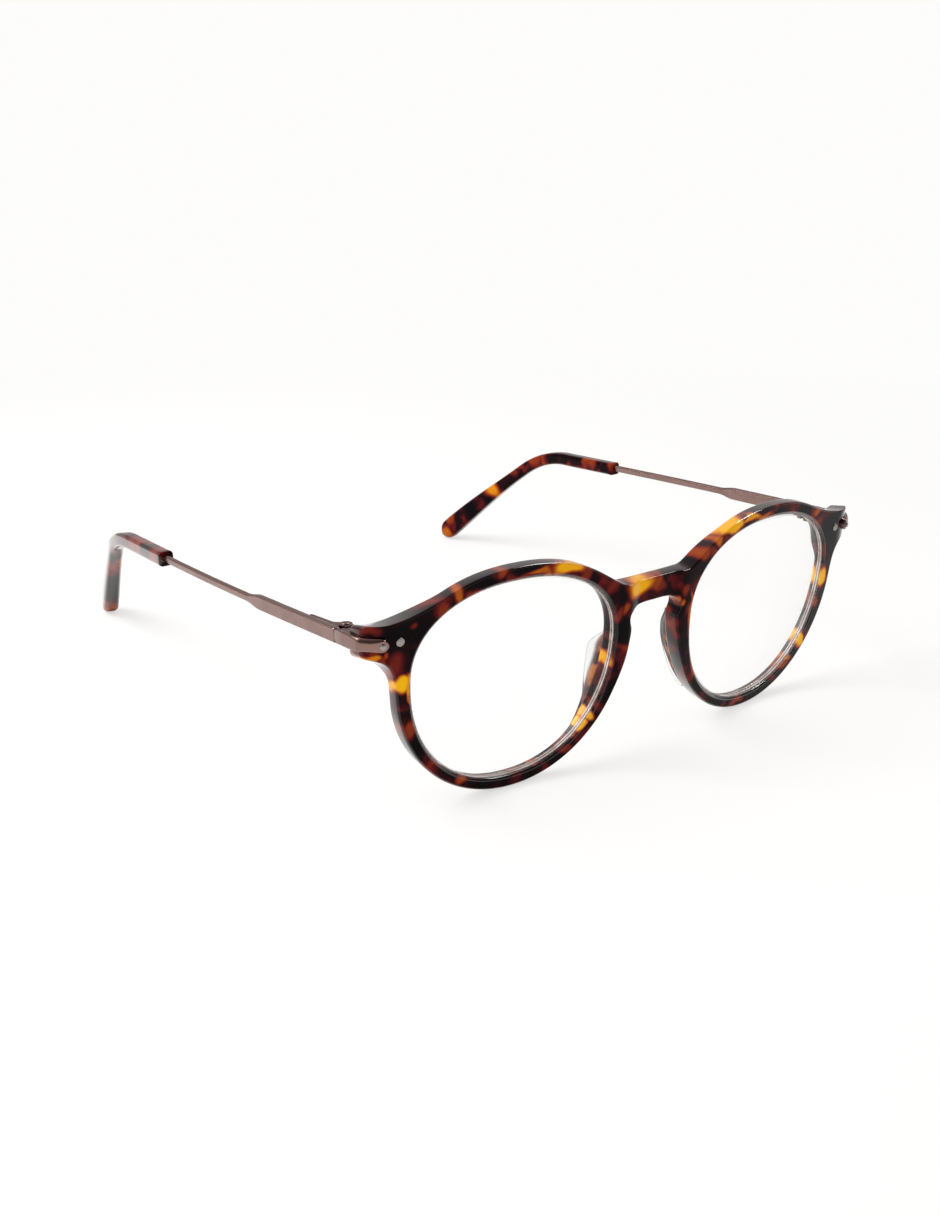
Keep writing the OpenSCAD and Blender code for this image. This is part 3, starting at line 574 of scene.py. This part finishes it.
# Lenses: clear moulded plastic, ground to a thin meniscus. The pointed edge is bevelled to spring into the
# rim's groove;
# sheets just inside the rim paint it as pale milky bands warmed by a painted reflection of the rim, and dark
# lines of painted shade.
lens_edge_t, lens_front_r, lens_back_r, lens_clear = 1.6, 120, 150, 0.1
lens_mid_v = (lens_up - lens_down) / 2
blank_r = max(lens_w, lens_up + lens_down) / 2 + 2
rim_land, bevel_start, band_in, band_inner = 0.3, -0.15, 0.05, 0.12


def lens_depth(p, radius, side):
    r = math.hypot((p.x - lens_x) / math.cos(wrap), p.y - lens_mid_v)
    return side * lens_edge_t / 2 - (math.sqrt(radius ** 2 - r ** 2) - math.sqrt(radius ** 2 - blank_r ** 2))


def lens_point(p, depth):
    return stand(p.x, face_plane(p.x) + groove_d + depth, p.y)


lens_clear_plastic, wire = blank_material("lens_clear")
lens_haze = wire.noise(wire.node("ShaderNodeTexCoord", out="Object"), 70, 3.0, 0.6)
facing = wire.node("ShaderNodeLayerWeight", {"Blend": 0.28}, out="Facing")
lens_alpha = wire.between(facing, 0.25, 1.0, 0.012, 0.75) + wire.between(lens_haze, 0.45, 0.8, 0.0, 0.01)
lens_rough = wire.between(lens_haze, 0.3, 0.7, 0.015, 0.04)
wire.surface({"Base Color": (0.78, 0.79, 0.78, 1), "Roughness": lens_rough, "IOR": 1.5, "Alpha": lens_alpha})


def edge_band_paint(name, scale, roughness, dark, pale, thin, dense):
    """The ground edge of a lens, seen through its front: a band of one tone. Pale bands are its milky tone
    with a painted warm reflection of the rim; dark ones are painted shade lines.
    """
    material, wire = blank_material(name)
    mist = wire.noise(wire.node("ShaderNodeTexCoord", out="Object"), scale, 2.0, roughness)
    wire.surface({"Base Color": wire.ramp(mist, (0.3, dark), (0.7, pale)),
                  "Roughness": wire.between(mist, 0.3, 0.7, 0.12, 0.22),
                  "Alpha": wire.between(mist, 0.35, 0.65, thin, dense)})
    return material


# Pale: the ground edge's milky tone, warmed by a painted reflection of the rim. Dark line: painted shade
# where the edge bends the view.
pale_edge_and_reflection = edge_band_paint("lens_bevel", 420, 0.6, (0.62, 0.49, 0.44), (0.86, 0.76, 0.72), 0.4, 0.6)
painted_edge_shade = edge_band_paint("lens_painted_shade_line", 300, 0.5, (0.09, 0.06, 0.05), (0.22, 0.16, 0.14), 0.7, 0.9)
bands = ((-0.78, -0.70, painted_edge_shade), (-0.68, -0.30, pale_edge_and_reflection),
         (-0.22, -0.14, painted_edge_shade), (-0.08, 0.24, pale_edge_and_reflection))
for side, name in ((1, "left"), (-1, "right")):
    middle, rim_in = Vector((lens_x, lens_mid_v)), inset(opening, rim_land)
    rows = [[middle.lerp(p, share) for p in opening] for share in (0.04, 0.2, 0.4, 0.6, 0.76, 0.88, 0.95)]
    rings = [[lens_point(p, lens_depth(p, lens_front_r, -1)) for p in row] for row in [*rows, rim_in]]
    for out, depth in ((bevel_start, lens_clear - groove_half), (groove_in - lens_clear, 0.0),
                       (bevel_start, groove_half - lens_clear)):
        rings.append([lens_point(p, depth) for p in inset(opening, -out)])
    rings += [[lens_point(p, lens_depth(p, lens_back_r, 1)) for p in row] for row in [rim_in, *rows[::-1]]]
    lens = skinned("lens_glass_" + name, rings, side, lens_clear_plastic, 12)
    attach(lens, "front")
    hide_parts("lens_" + name)
    # Each band is a sheet inside the clear lens that paints the edge's light and shade.
    for k, (start, end, finish) in enumerate(bands):
        rings = [[lens_point(p, depth) for p in inset(opening, band_in)] for depth in (start, end)]
        rings += [[lens_point(p, depth) for p in inset(opening, band_inner)] for depth in (end, start)]
        rings.append(rings[0])
        points = [(side * p[0], p[1], p[2]) for ring in rings for p in ring]
        faces = ring_faces(len(rings), len(opening))
        band = add_piece(f"lens_bevel_{name}_{k}", points, faces, finish, 60)
        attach(band, "front")

# Nose pads: small wedges of clear crystal acetate, glued behind the nasal rims and polished to a soft ridge.
# The rim's mottled colour, seen through the clear pad, is painted on its lower part, and the polished edge
# shows as a fine dark line of painted shade.
pad_h, pad_l, seat, pad_rows = 4.1, 20, 0.03, 41
pad_top = nose_v + 0.3
foot_w, ridge_near, ridge_out, ridge_taper, pad_lean = 1.9, 0.3, 2.8, 3.7, 0.15


def pad_ring(t):
    """A section of the pad at a share of its length, with each point's share of the height."""
    v, swell = pad_top - pad_l * t, smooth(t / 0.3 + 0.12)
    h = pad_h * swell * (1 - (max(0, t - 0.35) / 0.7) ** 1.4)
    base = nasal_u(v) + edge_r
    ridge = base + ridge_near + ridge_out * swell - ridge_taper * t ** 1.5
    foot = base + foot_w
    corners = [(foot, 0), (foot, 0.45 * h), (ridge + 0.4, 0.82 * h), (ridge + 0.15, 0.97 * h),
               (ridge - 0.2, h), (ridge - 0.5, 0.93 * h), (mix(base, ridge, 0.6), 0.72 * h),
               (mix(base, ridge, 0.25), 0.36 * h), (base, 0)]
    line = spline([Vector(c) for c in corners], 4) + [Vector(corners[-1])]
    return [(stand(q.x, face_back(q.x, v) + seat + q.y, v - pad_lean * q.y), q.y / max(h, 0.5)) for q in line]


pad_crystal, wire = blank_material("pad_clear")
pad_place = wire.node("ShaderNodeTexCoord", out="Object")
pad_facing = wire.node("ShaderNodeLayerWeight", {"Blend": 0.5}, out="Facing")
pad_mist = wire.noise(pad_place, 160)
pad_rise = wire.node("ShaderNodeAttribute", None, {"attribute_name": "rise"}, "Fac")
# Painted see-through: the pad's lower part takes the tortoise colour of the rim seen through the clear pad.
painted_rim_share = wire.between(pad_rise + (pad_mist - 0.5) * 0.3, 0.74, 0.5)
pad_edge_alpha = wire.between(pad_facing, 0.44, 0.70, 0.03, 0.97)
pad_clear_alpha = pad_edge_alpha + wire.between(pad_mist, 0.4, 0.8, 0.0, 0.03)
painted_rim_cloud = wire.ramp(wire.noise(pad_place, 330, 1.5),
                      (0.38, (0.020, 0.004, 0.004)), (0.5, (0.12, 0.022, 0.010)), (0.62, (0.36, 0.12, 0.02)))
# The dark tone shows only where the alpha rises at the grazing edges: a painted shade line.
wire.surface({"Base Color": wire.blend(painted_rim_share, (0.035, 0.030, 0.028, 1), painted_rim_cloud),
              "Roughness": wire.between(pad_mist, 0.3, 0.7, 0.05, 0.12), "IOR": 1.1,
              "Alpha": wire.maths("MAXIMUM", pad_clear_alpha, painted_rim_share * 0.88)})

for side, name in ((1, "left"), (-1, "right")):
    sections = [pad_ring(i / (pad_rows - 1)) for i in range(pad_rows)]
    shares = [share for section in sections for _, share in section]
    rings = [[p for p, _ in section] for section in sections]
    pad = skinned("crystal_pad_" + name, rings, side, pad_crystal, 55, shares)
    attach(pad, "front")
    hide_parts("nose_pad_" + name)

# Corner strips: flat bronze metal that is riveted on the face of each end block, bent round its corner
# and run back to the seam with the temple. Satin finish, with a softly rounded face.
strip_t, strip_h, strip_l, strip_up, strip_fall, seam_back = 0.9, 2.7, 4, 8.6, math.radians(3.4), 7.2
run = 0.05
strip_off, strip_half = seat + strip_t / 2, strip_h / 2


def face_slope(u):
    step = 0.05
    return math.atan((face_front(u + step) - face_front(u - step)) / (2 * step))


corner_slope = face_slope(half_w)
corner_p = Vector(stand(half_w, face_front(half_w), strip_up))
seam_y = corner_p.y + seam_back
face_up = Vector((0, -math.sin(lean), math.cos(lean)))
side_up = Vector((0, math.sin(strip_fall), math.cos(strip_fall)))
strip_start = half_w - strip_l
corner_u = half_w - edge_r * (1 - math.sin(corner_slope))
corner_side = Vector((math.sin(corner_slope), -math.cos(corner_slope), 0))
corner_c = Vector(stand(corner_u, face_front(corner_u), strip_up)) - edge_r * corner_side


def strip_ring(centre, side, up, half, swell):
    """A section of the strip: flat inside, and outside from nearly flat at swell 0 to rounded at swell 1."""
    o, steps = strip_t / 2, 18
    ring = [centre - side * strip_t / 2 - up * half]
    for k in range(steps + 1):
        c, s = math.cos(math.pi * (k / steps - 0.5)), math.sin(math.pi * (k / steps - 0.5))
        out = mix(o * min(1, 3 * c), o * (1.9 * max(0, c) ** 0.9 - 0.9), swell)
        ring.append(centre + side * out + up * half * math.copysign(abs(s) ** mix(0.3, 0.9, swell), s))
    return ring + [centre - side * o + up * half]


def strip_face_ring(u, half, swell):
    side = Vector((math.sin(face_slope(u)), -math.cos(face_slope(u)), 0))
    centre = Vector(stand(u, face_front(u), strip_up)) + side * strip_off
    return strip_ring(centre, side, face_up, half, swell)


def satin_metal(name, colour, low, high):
    """Satin bronze plating: fine brushed lines and cloudy roughness."""
    material, wire = blank_material(name)
    place = wire.node("ShaderNodeTexCoord", out="Object")
    along = wire.node("ShaderNodeMapping", {"Vector": place, "Scale": (1.0, 0.06, 1.0)})
    brushed, cloudy = wire.noise(along, 5000, 2.0, 0.6), wire.noise(place, 220, 3.0, 0.55)
    shade = tuple(c * 0.86 for c in colour[:3]) + (1,)
    wire.surface({
        "Base Color": wire.blend(wire.between(cloudy, 0.3, 0.7), colour, shade), "Metallic": 1.0,
        "Roughness": wire.between(cloudy, 0.3, 0.7, low, high),
        "Normal": wire.node("ShaderNodeBump", {"Height": brushed, "Strength": 0.12, "Distance": 0.00003})})
    return material


strip_metal = satin_metal("strip_metal", (0.245, 0.150, 0.132, 1), 0.20, 0.30)
end_in, end_shrink, end_chamfer, end_swell, side_swell = 0.08, 0.03, 0.06, 0.2, 0.25
for side, name in ((1, "left"), (-1, "right")):
    rings = []
    for degrees in range(10, 91, 8):
        a, swell = math.radians(degrees), end_swell + 0.5 * (degrees / 90) ** 4
        u = strip_start + strip_half * (1 - math.cos(a))
        rings.append(strip_face_ring(u, strip_half * math.sin(a), swell))
    for k in range(1, 7):
        u = mix(strip_start + strip_half, corner_u - 0.2, k / 6)
        rings.append(strip_face_ring(u, strip_half, min(1, 0.7 + 0.1 * k)))
    for k in range(9):
        swing = mix(corner_slope - math.pi / 2, 0, k / 8)
        out = Vector((math.cos(swing), math.sin(swing), 0))
        up = mix(face_up, side_up, k / 8).normalized()
        rings.append(strip_ring(corner_c + out * (edge_r + strip_off), out, up, strip_half, 1 - 0.5 * k / 8))
    for y in (corner_p.y + 2.6, corner_p.y + 4, seam_y - run / 2 - end_in, seam_y - run / 2):
        last = y > seam_y - 0.05
        half = strip_half - (end_chamfer if last else 0)
        z = corner_p.z - (y - corner_p.y) * math.tan(strip_fall)
        middle = Vector((half_w + strip_off - (end_shrink if last else 0), y, z))
        rings.append(strip_ring(middle, Vector((1, 0, 0)), Vector((0, 0, 1)), half, side_swell))
    strip = skinned("bent_strip_" + name, rings, side, strip_metal, 50)
    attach(strip, "front")
    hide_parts("corner_strip_" + name)

# Hinges: bronze blocks with three knuckles each, pressed and polished. Two knuckles stay with the front,
# the middle one swings.
hinge_metal = satin_metal("hinge_metal", (0.22, 0.14, 0.125, 1), 0.20, 0.30)
for name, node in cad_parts.items():
    if name.startswith(("front_hinge", "temple_hinge")):
        node.data.materials.clear()
        node.data.materials.append(hinge_metal)


# Rivets, pins and hinge screws: small turned steel parts. A domed head stands on a thinner shank,
# and the screws have a driver slot.
def turned_tree():
    """A fastener on each point, formed from a ball: the head above, then a shank of a given length."""
    tree = bpy.data.node_groups.new("turned_fasteners", "GeometryNodeTree")
    sizes = {"Edge": 0.18, "Dome": 0.30, "Shank radius": 0.75, "Shank length": 1.5,
             "Slot width": 0.0, "Slot depth": 0.2}
    tree.interface.new_socket("Geometry", in_out="INPUT", socket_type="NodeSocketGeometry")
    for name, value in sizes.items():
        tree.interface.new_socket(name, in_out="INPUT", socket_type="NodeSocketFloat").default_value = value
    tree.interface.new_socket("Finish", in_out="INPUT", socket_type="NodeSocketMaterial")
    tree.interface.new_socket("Geometry", in_out="OUTPUT", socket_type="NodeSocketGeometry")
    wire = Wire(tree)
    given = {name: wire.node("NodeGroupInput", out=name) for name in ("Geometry", *sizes, "Finish")}
    shank_r, slot_w = given["Shank radius"], given["Slot width"]
    ball = wire.node("GeometryNodeMeshUVSphere", {"Segments": 48, "Rings": 24, "Radius": 1.0})
    place = wire.node("GeometryNodeInputPosition")
    flat = wire.vector("MULTIPLY", place, (1, 1, 0))
    height = wire.node("ShaderNodeSeparateXYZ", {0: place}, out="Z")
    head, under, collar = (wire.maths("GREATER_THAN", height, level) for level in (-0.05, -0.2, -0.3))
    reach = head * wire.vector("LENGTH", flat, out="Value") + (1 - head) * (shank_r + (1 - shank_r) * under)
    head_rise = head * (given["Edge"] + given["Dome"] * height)
    rise = head_rise - (1 - head) * (1 - collar) * given["Shank length"]
    scaling = {0: wire.vector("NORMALIZE", flat), "Scale": reach}
    outward = wire.node("ShaderNodeVectorMath", scaling, {"operation": "SCALE"})
    shaped_place = wire.vector("ADD", outward, wire.node("ShaderNodeCombineXYZ", {"Z": rise}))
    shaped = wire.node("GeometryNodeSetPosition", {"Geometry": ball, "Position": shaped_place})
    slot_size = wire.node("ShaderNodeCombineXYZ", {"X": 3.0, "Y": slot_w, "Z": given["Slot depth"] * 2})
    slot_place = wire.node("ShaderNodeCombineXYZ", {"Z": given["Edge"] + given["Dome"]})
    cutter = wire.node("GeometryNodeMeshCube", {"Size": slot_size})
    raised = wire.node("GeometryNodeTransform", {"Geometry": cutter, "Translation": slot_place})
    cut = {"operation": "DIFFERENCE", "solver": "EXACT"}
    slotted = wire.node("GeometryNodeMeshBoolean", {0: shaped, 1: raised}, cut)
    more = {"data_type": "FLOAT", "operation": "GREATER_THAN"}
    has_slot = wire.node("FunctionNodeCompare", {0: slot_w, 1: 0.0}, more)
    choice = {"Switch": has_slot, "False": shaped, "True": slotted}
    turned = wire.node("GeometryNodeSwitch", choice, {"input_type": "GEOMETRY"})
    aim = wire.node("GeometryNodeInputNamedAttribute", {"Name": "aim"}, {"data_type": "FLOAT_VECTOR"})
    size = wire.node("GeometryNodeInputNamedAttribute", {"Name": "size"}, {"data_type": "FLOAT"})
    turning = wire.node("FunctionNodeAlignRotationToVector", {"Vector": aim}, {"axis": "Z"})
    setting = {"Points": given["Geometry"], "Instance": turned, "Rotation": turning, "Scale": size}
    real = wire.node("GeometryNodeRealizeInstances", {0: wire.node("GeometryNodeInstanceOnPoints", setting)})
    dressed = wire.node("GeometryNodeSetMaterial", {"Geometry": real, "Material": given["Finish"]})
    wire.node("NodeGroupOutput", {0: dressed})
    return tree


def turned(name, spots, finish, sizes, nodes):
    """One mesh of turned parts. A spot has its place, the direction it looks in and its head's radius."""
    data = bpy.data.meshes.new(name + "_points")
    data.from_pydata([in_metres(p) for p, _, _ in spots], [], [])
    aims, radii = [c for _, aim, _ in spots for c in aim], [radius / 1000 for _, _, radius in spots]
    data.attributes.new("aim", "FLOAT_VECTOR", "POINT").data.foreach_set("vector", aims)
    data.attributes.new("size", "FLOAT", "POINT").data.foreach_set("value", radii)
    points = bpy.data.objects.new(name + "_points", data)
    bpy.context.scene.collection.objects.link(points)
    modifier = points.modifiers.new("turned", "NODES")
    modifier.node_group = turned_nodes
    for item in turned_nodes.interface.items_tree:
        if item.in_out == "INPUT" and item.name in sizes:
            modifier[item.identifier] = sizes[item.name]
        elif item.in_out == "INPUT" and item.name == "Finish":
            modifier[item.identifier] = finish
    mesh = bpy.data.meshes.new_from_object(points.evaluated_get(bpy.context.evaluated_depsgraph_get()))
    points.modifiers.remove(modifier)
    bpy.data.objects.remove(points)
    mesh.name = name
    mesh.set_sharp_from_angle(angle=math.radians(35))
    piece = bpy.data.objects.new(name, mesh)
    bpy.context.scene.collection.objects.link(piece)
    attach(piece, "front")
    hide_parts(*nodes)


turned_nodes = turned_tree()
rivet_steel = satin_metal("rivet_steel", (0.31, 0.285, 0.27, 1), 0.28, 0.40)
screw_steel = satin_metal("screw_steel", (0.30, 0.21, 0.19, 1), 0.20, 0.30)
rivet_r, pin_r, rivet_in, pin_gap, head_lift, screw_sink = 0.58, 0.82, 0.3, 2.4, 0.02, 0.45
rivet_spots, pin_spots, screw_spots = [], [], []
for side, name in ((1, "left"), (-1, "right")):
    rivet = (strip_start + rivet_r + rivet_in, rivet_r, strip_t + seat + head_lift, rivet_spots)
    pin = (strip_start - pin_gap, pin_r, head_lift, pin_spots)
    for u, radius, lift, spots in (rivet, pin):
        slope = face_slope(u)
        aim = Vector((math.sin(slope), -math.cos(slope) * math.cos(lean), -math.cos(slope) * math.sin(lean)))
        place = Vector(stand(u, face_front(u), strip_up)) + aim * lift
        spots.append(((side * place.x, place.y, place.z), (side * aim.x, aim.y, aim.z), radius))
    low, high = (Vector(corner) * 1000 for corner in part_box("hinge_screw_" + name))
    screw_place = ((low.x + high.x) / 2, (low.y + high.y) / 2 + mid_y, high.z - screw_sink)
    screw_spots.append((screw_place, (0, 0, 1), (high.x - low.x) / 2.4))
rivet_sizes = {"Edge": 0.18, "Dome": 0.30, "Shank length": 1.45}
pin_sizes = {"Edge": 0.08, "Dome": 0.18, "Shank radius": 0.8, "Shank length": 0.02}
screw_sizes = {"Edge": 0.10, "Dome": 0.26, "Shank radius": 0.6, "Shank length": 3.2,
               "Slot width": 0.3, "Slot depth": 0.22}
turned("strip_rivets", rivet_spots, rivet_steel, rivet_sizes, ["strip_rivet_left", "strip_rivet_right"])
turned("face_pins", pin_spots, rivet_steel, pin_sizes, ["face_pin_left", "face_pin_right"])
turned("hinge_screws", screw_spots, screw_steel, screw_sizes, ["hinge_screw_left", "hinge_screw_right"])

# Temples: stamped metal with satin bronze plating, broad behind the hinge and drawn to a thin bar.
# Each is bowed a little round the head, and runs on as the core of its tip.
temple_t, broad_l, bar_h, temple_l, drop_l = 1.4, 26, 1.65, 98.8, 47.4
temple_slope, temple_splay, temple_bow, tip_in, bend_r = math.radians(2.5), math.radians(0.4), 0.9, 9.6, 29
tip_l, tip_t, tip_h, tip_end_h, core_short, foot_share = 29.4, 3.5, 3, 5.3, 16, 0.925
start_y = seam_y + run / 2
start_p = Vector((half_w + strip_off, start_y, corner_p.z - (start_y - corner_p.y) * math.tan(strip_fall)))
run_dir = Vector((math.sin(temple_splay), math.cos(temple_slope) * math.cos(temple_splay),
                  -math.sin(temple_slope) * math.cos(temple_splay)))
bend_p = start_p + temple_l * run_dir
tip_end_r = tip_end_h / 2
drop_down = bend_p.z - foot_share * tip_end_r
drop_back = math.sqrt(drop_l ** 2 - drop_down ** 2 - tip_in ** 2)
drop_dir = Vector((-tip_in, drop_back, -drop_down)) / drop_l
bend_angle = math.acos(run_dir.dot(drop_dir))
bend_cut = bend_r * math.tan(bend_angle / 2)
bend_len = bend_r * bend_angle
straight_l = temple_l - bend_cut
bend_side = (drop_dir - run_dir * run_dir.dot(drop_dir)).normalized()
path_l = straight_l + bend_len + drop_l - bend_cut
tip_s, core_end_s = temple_l - tip_l, path_l - core_short
lay = start_p.x + temple_t / 2 - (half_w + seat + strip_t)


def path_frame(s, bow):
    """Middle, outward side and upward direction of the temple at a length from the hinge.
    The bow lifts the middle of the drop."""
    a = min(bend_angle, max(0, (s - straight_l) / bend_len * bend_angle))
    heading = run_dir * math.cos(a) + bend_side * math.sin(a)
    if s <= straight_l:
        middle = start_p + run_dir * s + math.sin(math.pi * s / straight_l) * Vector((1, 0, 0)) * temple_bow
    elif s <= straight_l + bend_len:
        ahead_l = straight_l + bend_r * math.sin(a)
        middle = start_p + run_dir * ahead_l + bend_side * bend_r * (1 - math.cos(a))
    else:
        middle = bend_p + drop_dir * (s - straight_l - bend_len + bend_cut)
    side = heading.cross(Vector((0, 0, 1))).normalized()
    up = side.cross(heading)
    lift = math.sin(math.pi * max(0, (s - straight_l) / (path_l - straight_l)))
    return middle + up * bow * lift, side, up


def path_ring(s, wide, tall, corner, shift, steps=4, bow=0.0, sink=0.0):
    """A section of the temple or tip with round corners, shifted inwards and sunk from the path."""
    middle, side, up = path_frame(s, bow)
    ring = []
    for quarter, (x, z) in enumerate(((1, 1), (-1, 1), (-1, -1), (1, -1))):
        for k in range(steps + 1):
            a = math.pi / 2 * (quarter + k / steps)
            out = x * (wide / 2 - corner) + corner * math.cos(a)
            high = z * (tall / 2 - corner) + corner * math.sin(a)
            ring.append(middle + side * (out - shift) + up * (high - sink))
    return ring


temple_metal = satin_metal("temple_metal", (0.26, 0.165, 0.148, 1), 0.20, 0.30)
broad_h, shoulder_l, end_bevel, end_bevel_l, bar_thin = strip_h + 0.1, 5, 0.1, 0.05, 0.2
first_s, step_s, core_w, core_h, core_rows = 0.6, 0.9, 1, 1.2, 30
for side, name in ((1, "left"), (-1, "right")):
    rings = []
    for s in [0, 0.08] + [first_s + step_s * i for i in range(int((tip_s - first_s) / step_s) + 1)] + [tip_s]:
        narrow, bevel = smooth((s - broad_l - 1) / shoulder_l), end_bevel if s < end_bevel_l else 0
        tall = mix(broad_h, bar_h, narrow) - bevel
        wide = mix(temple_t, temple_t - bar_thin, narrow) - bevel
        rings.append(path_ring(s, wide, tall, mix(0.3, 0.5, narrow), lay + (wide - temple_t) / 2))
    for i in range(1, core_rows):
        rings.append(path_ring(mix(tip_s, core_end_s, i / (core_rows - 1)), core_w, core_h, 0.2, lay))
    bar = skinned("temple_bar_" + name, rings, side, temple_metal, 50)
    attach(bar, "temple_" + name)
    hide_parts("temple_" + name)

# Tips: mottled acetate paddles, pressed hot over the cores, bent down behind the ear and polished round.
# They broaden towards the end, and their mouths are cut flat where the bar comes out.
tip_flat_s, tip_bow, mouth_s, end_s = straight_l + bend_len + 2, 0.9, tip_s + 1.2, path_l - 1.2
mouth_round, mouth_h, drop_h, drop_more_t = 0.4, tip_h + 0.3, tip_end_h + 0.2, 0.7
tip_sink, tip_rows = 0.15, 60
tip_light = {
    "left": [((0, 55.5, 18.5), (0, 3.4, 2.6), 0.74), ((0, 40, 30), (0, 3, 3), 0.46),
             ((0, 73, 2.5), (0, 3, 2.2), 0.62), ((0, 48, 25), (0, 2.5, 2), 0.38),
             ((0, 17, 33), (0, 2, 3), 0.45)],
    "right": [((0, 12.5, 33), (0, 3, 4), 0.40), ((0, 24.5, 33), (0, 4, 4), 0.38),
              ((0, 51.5, 20), (0, 4, 4), 0.40), ((0, 72, 2), (0, 4, 3), 0.52)]}
tip_dark = {"left": [((0, 63, 12), (0, 4, 4), 0.8)], "right": [((0, 62, 11), (0, 5, 5), 0.8)]}
outer_side = [1, 1, 0.5] + [0] * 18 + [0.5, 1, 1]
for side, name in ((1, "left"), (-1, "right")):
    tip_acetate = acetate("tip_acetate_" + name, tip_light[name], tip_dark[name], 5.7 + side, 0.5)
    rings = [path_ring(mouth_s + 0.02, 1.3, 1.5, 0.4, lay, 5)]
    rings.append(path_ring(mouth_s, tip_t - 0.9, tip_h - 0.7, 0.8, lay, 5, 0, 0.1))
    for a in arc[1:]:
        cut, s = mouth_round * (1 - math.sin(a)), mouth_s + mouth_round * (1 - math.cos(a))
        rings.append(path_ring(s, tip_t - 2 * cut, mouth_h - 2 * cut, 0.9, lay, 5, 0, tip_sink))
    for i in range(1, tip_rows + 1):
        s = mix(mouth_s + mouth_round, end_s, i / tip_rows)
        share = smooth((s - tip_flat_s) / (path_l - tip_flat_s - 2))
        wide, tall = tip_t + drop_more_t * share, mix(mouth_h, drop_h, share)
        rings.append(path_ring(s, wide, tall, 1.0 + 0.3 * share, lay, 5, tip_bow, tip_sink * (1 - share)))
    for a in [math.radians(9 * i) for i in range(1, 10)]:
        tall = max(0.5, drop_h * math.cos(a))
        wide = mix(tip_t + drop_more_t, 1.8, 1 - math.cos(a))
        corner = min(1.3, 0.49 * tall, 0.49 * wide)
        rings.append(path_ring(end_s + (tip_end_r + 1) * math.sin(a), wide, tall, corner, lay, 5, tip_bow))
    tip = skinned("acetate_tip_" + name, rings, side, tip_acetate, 60, outer_side * len(rings))
    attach(tip, "temple_" + name)
    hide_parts("tip_" + name)
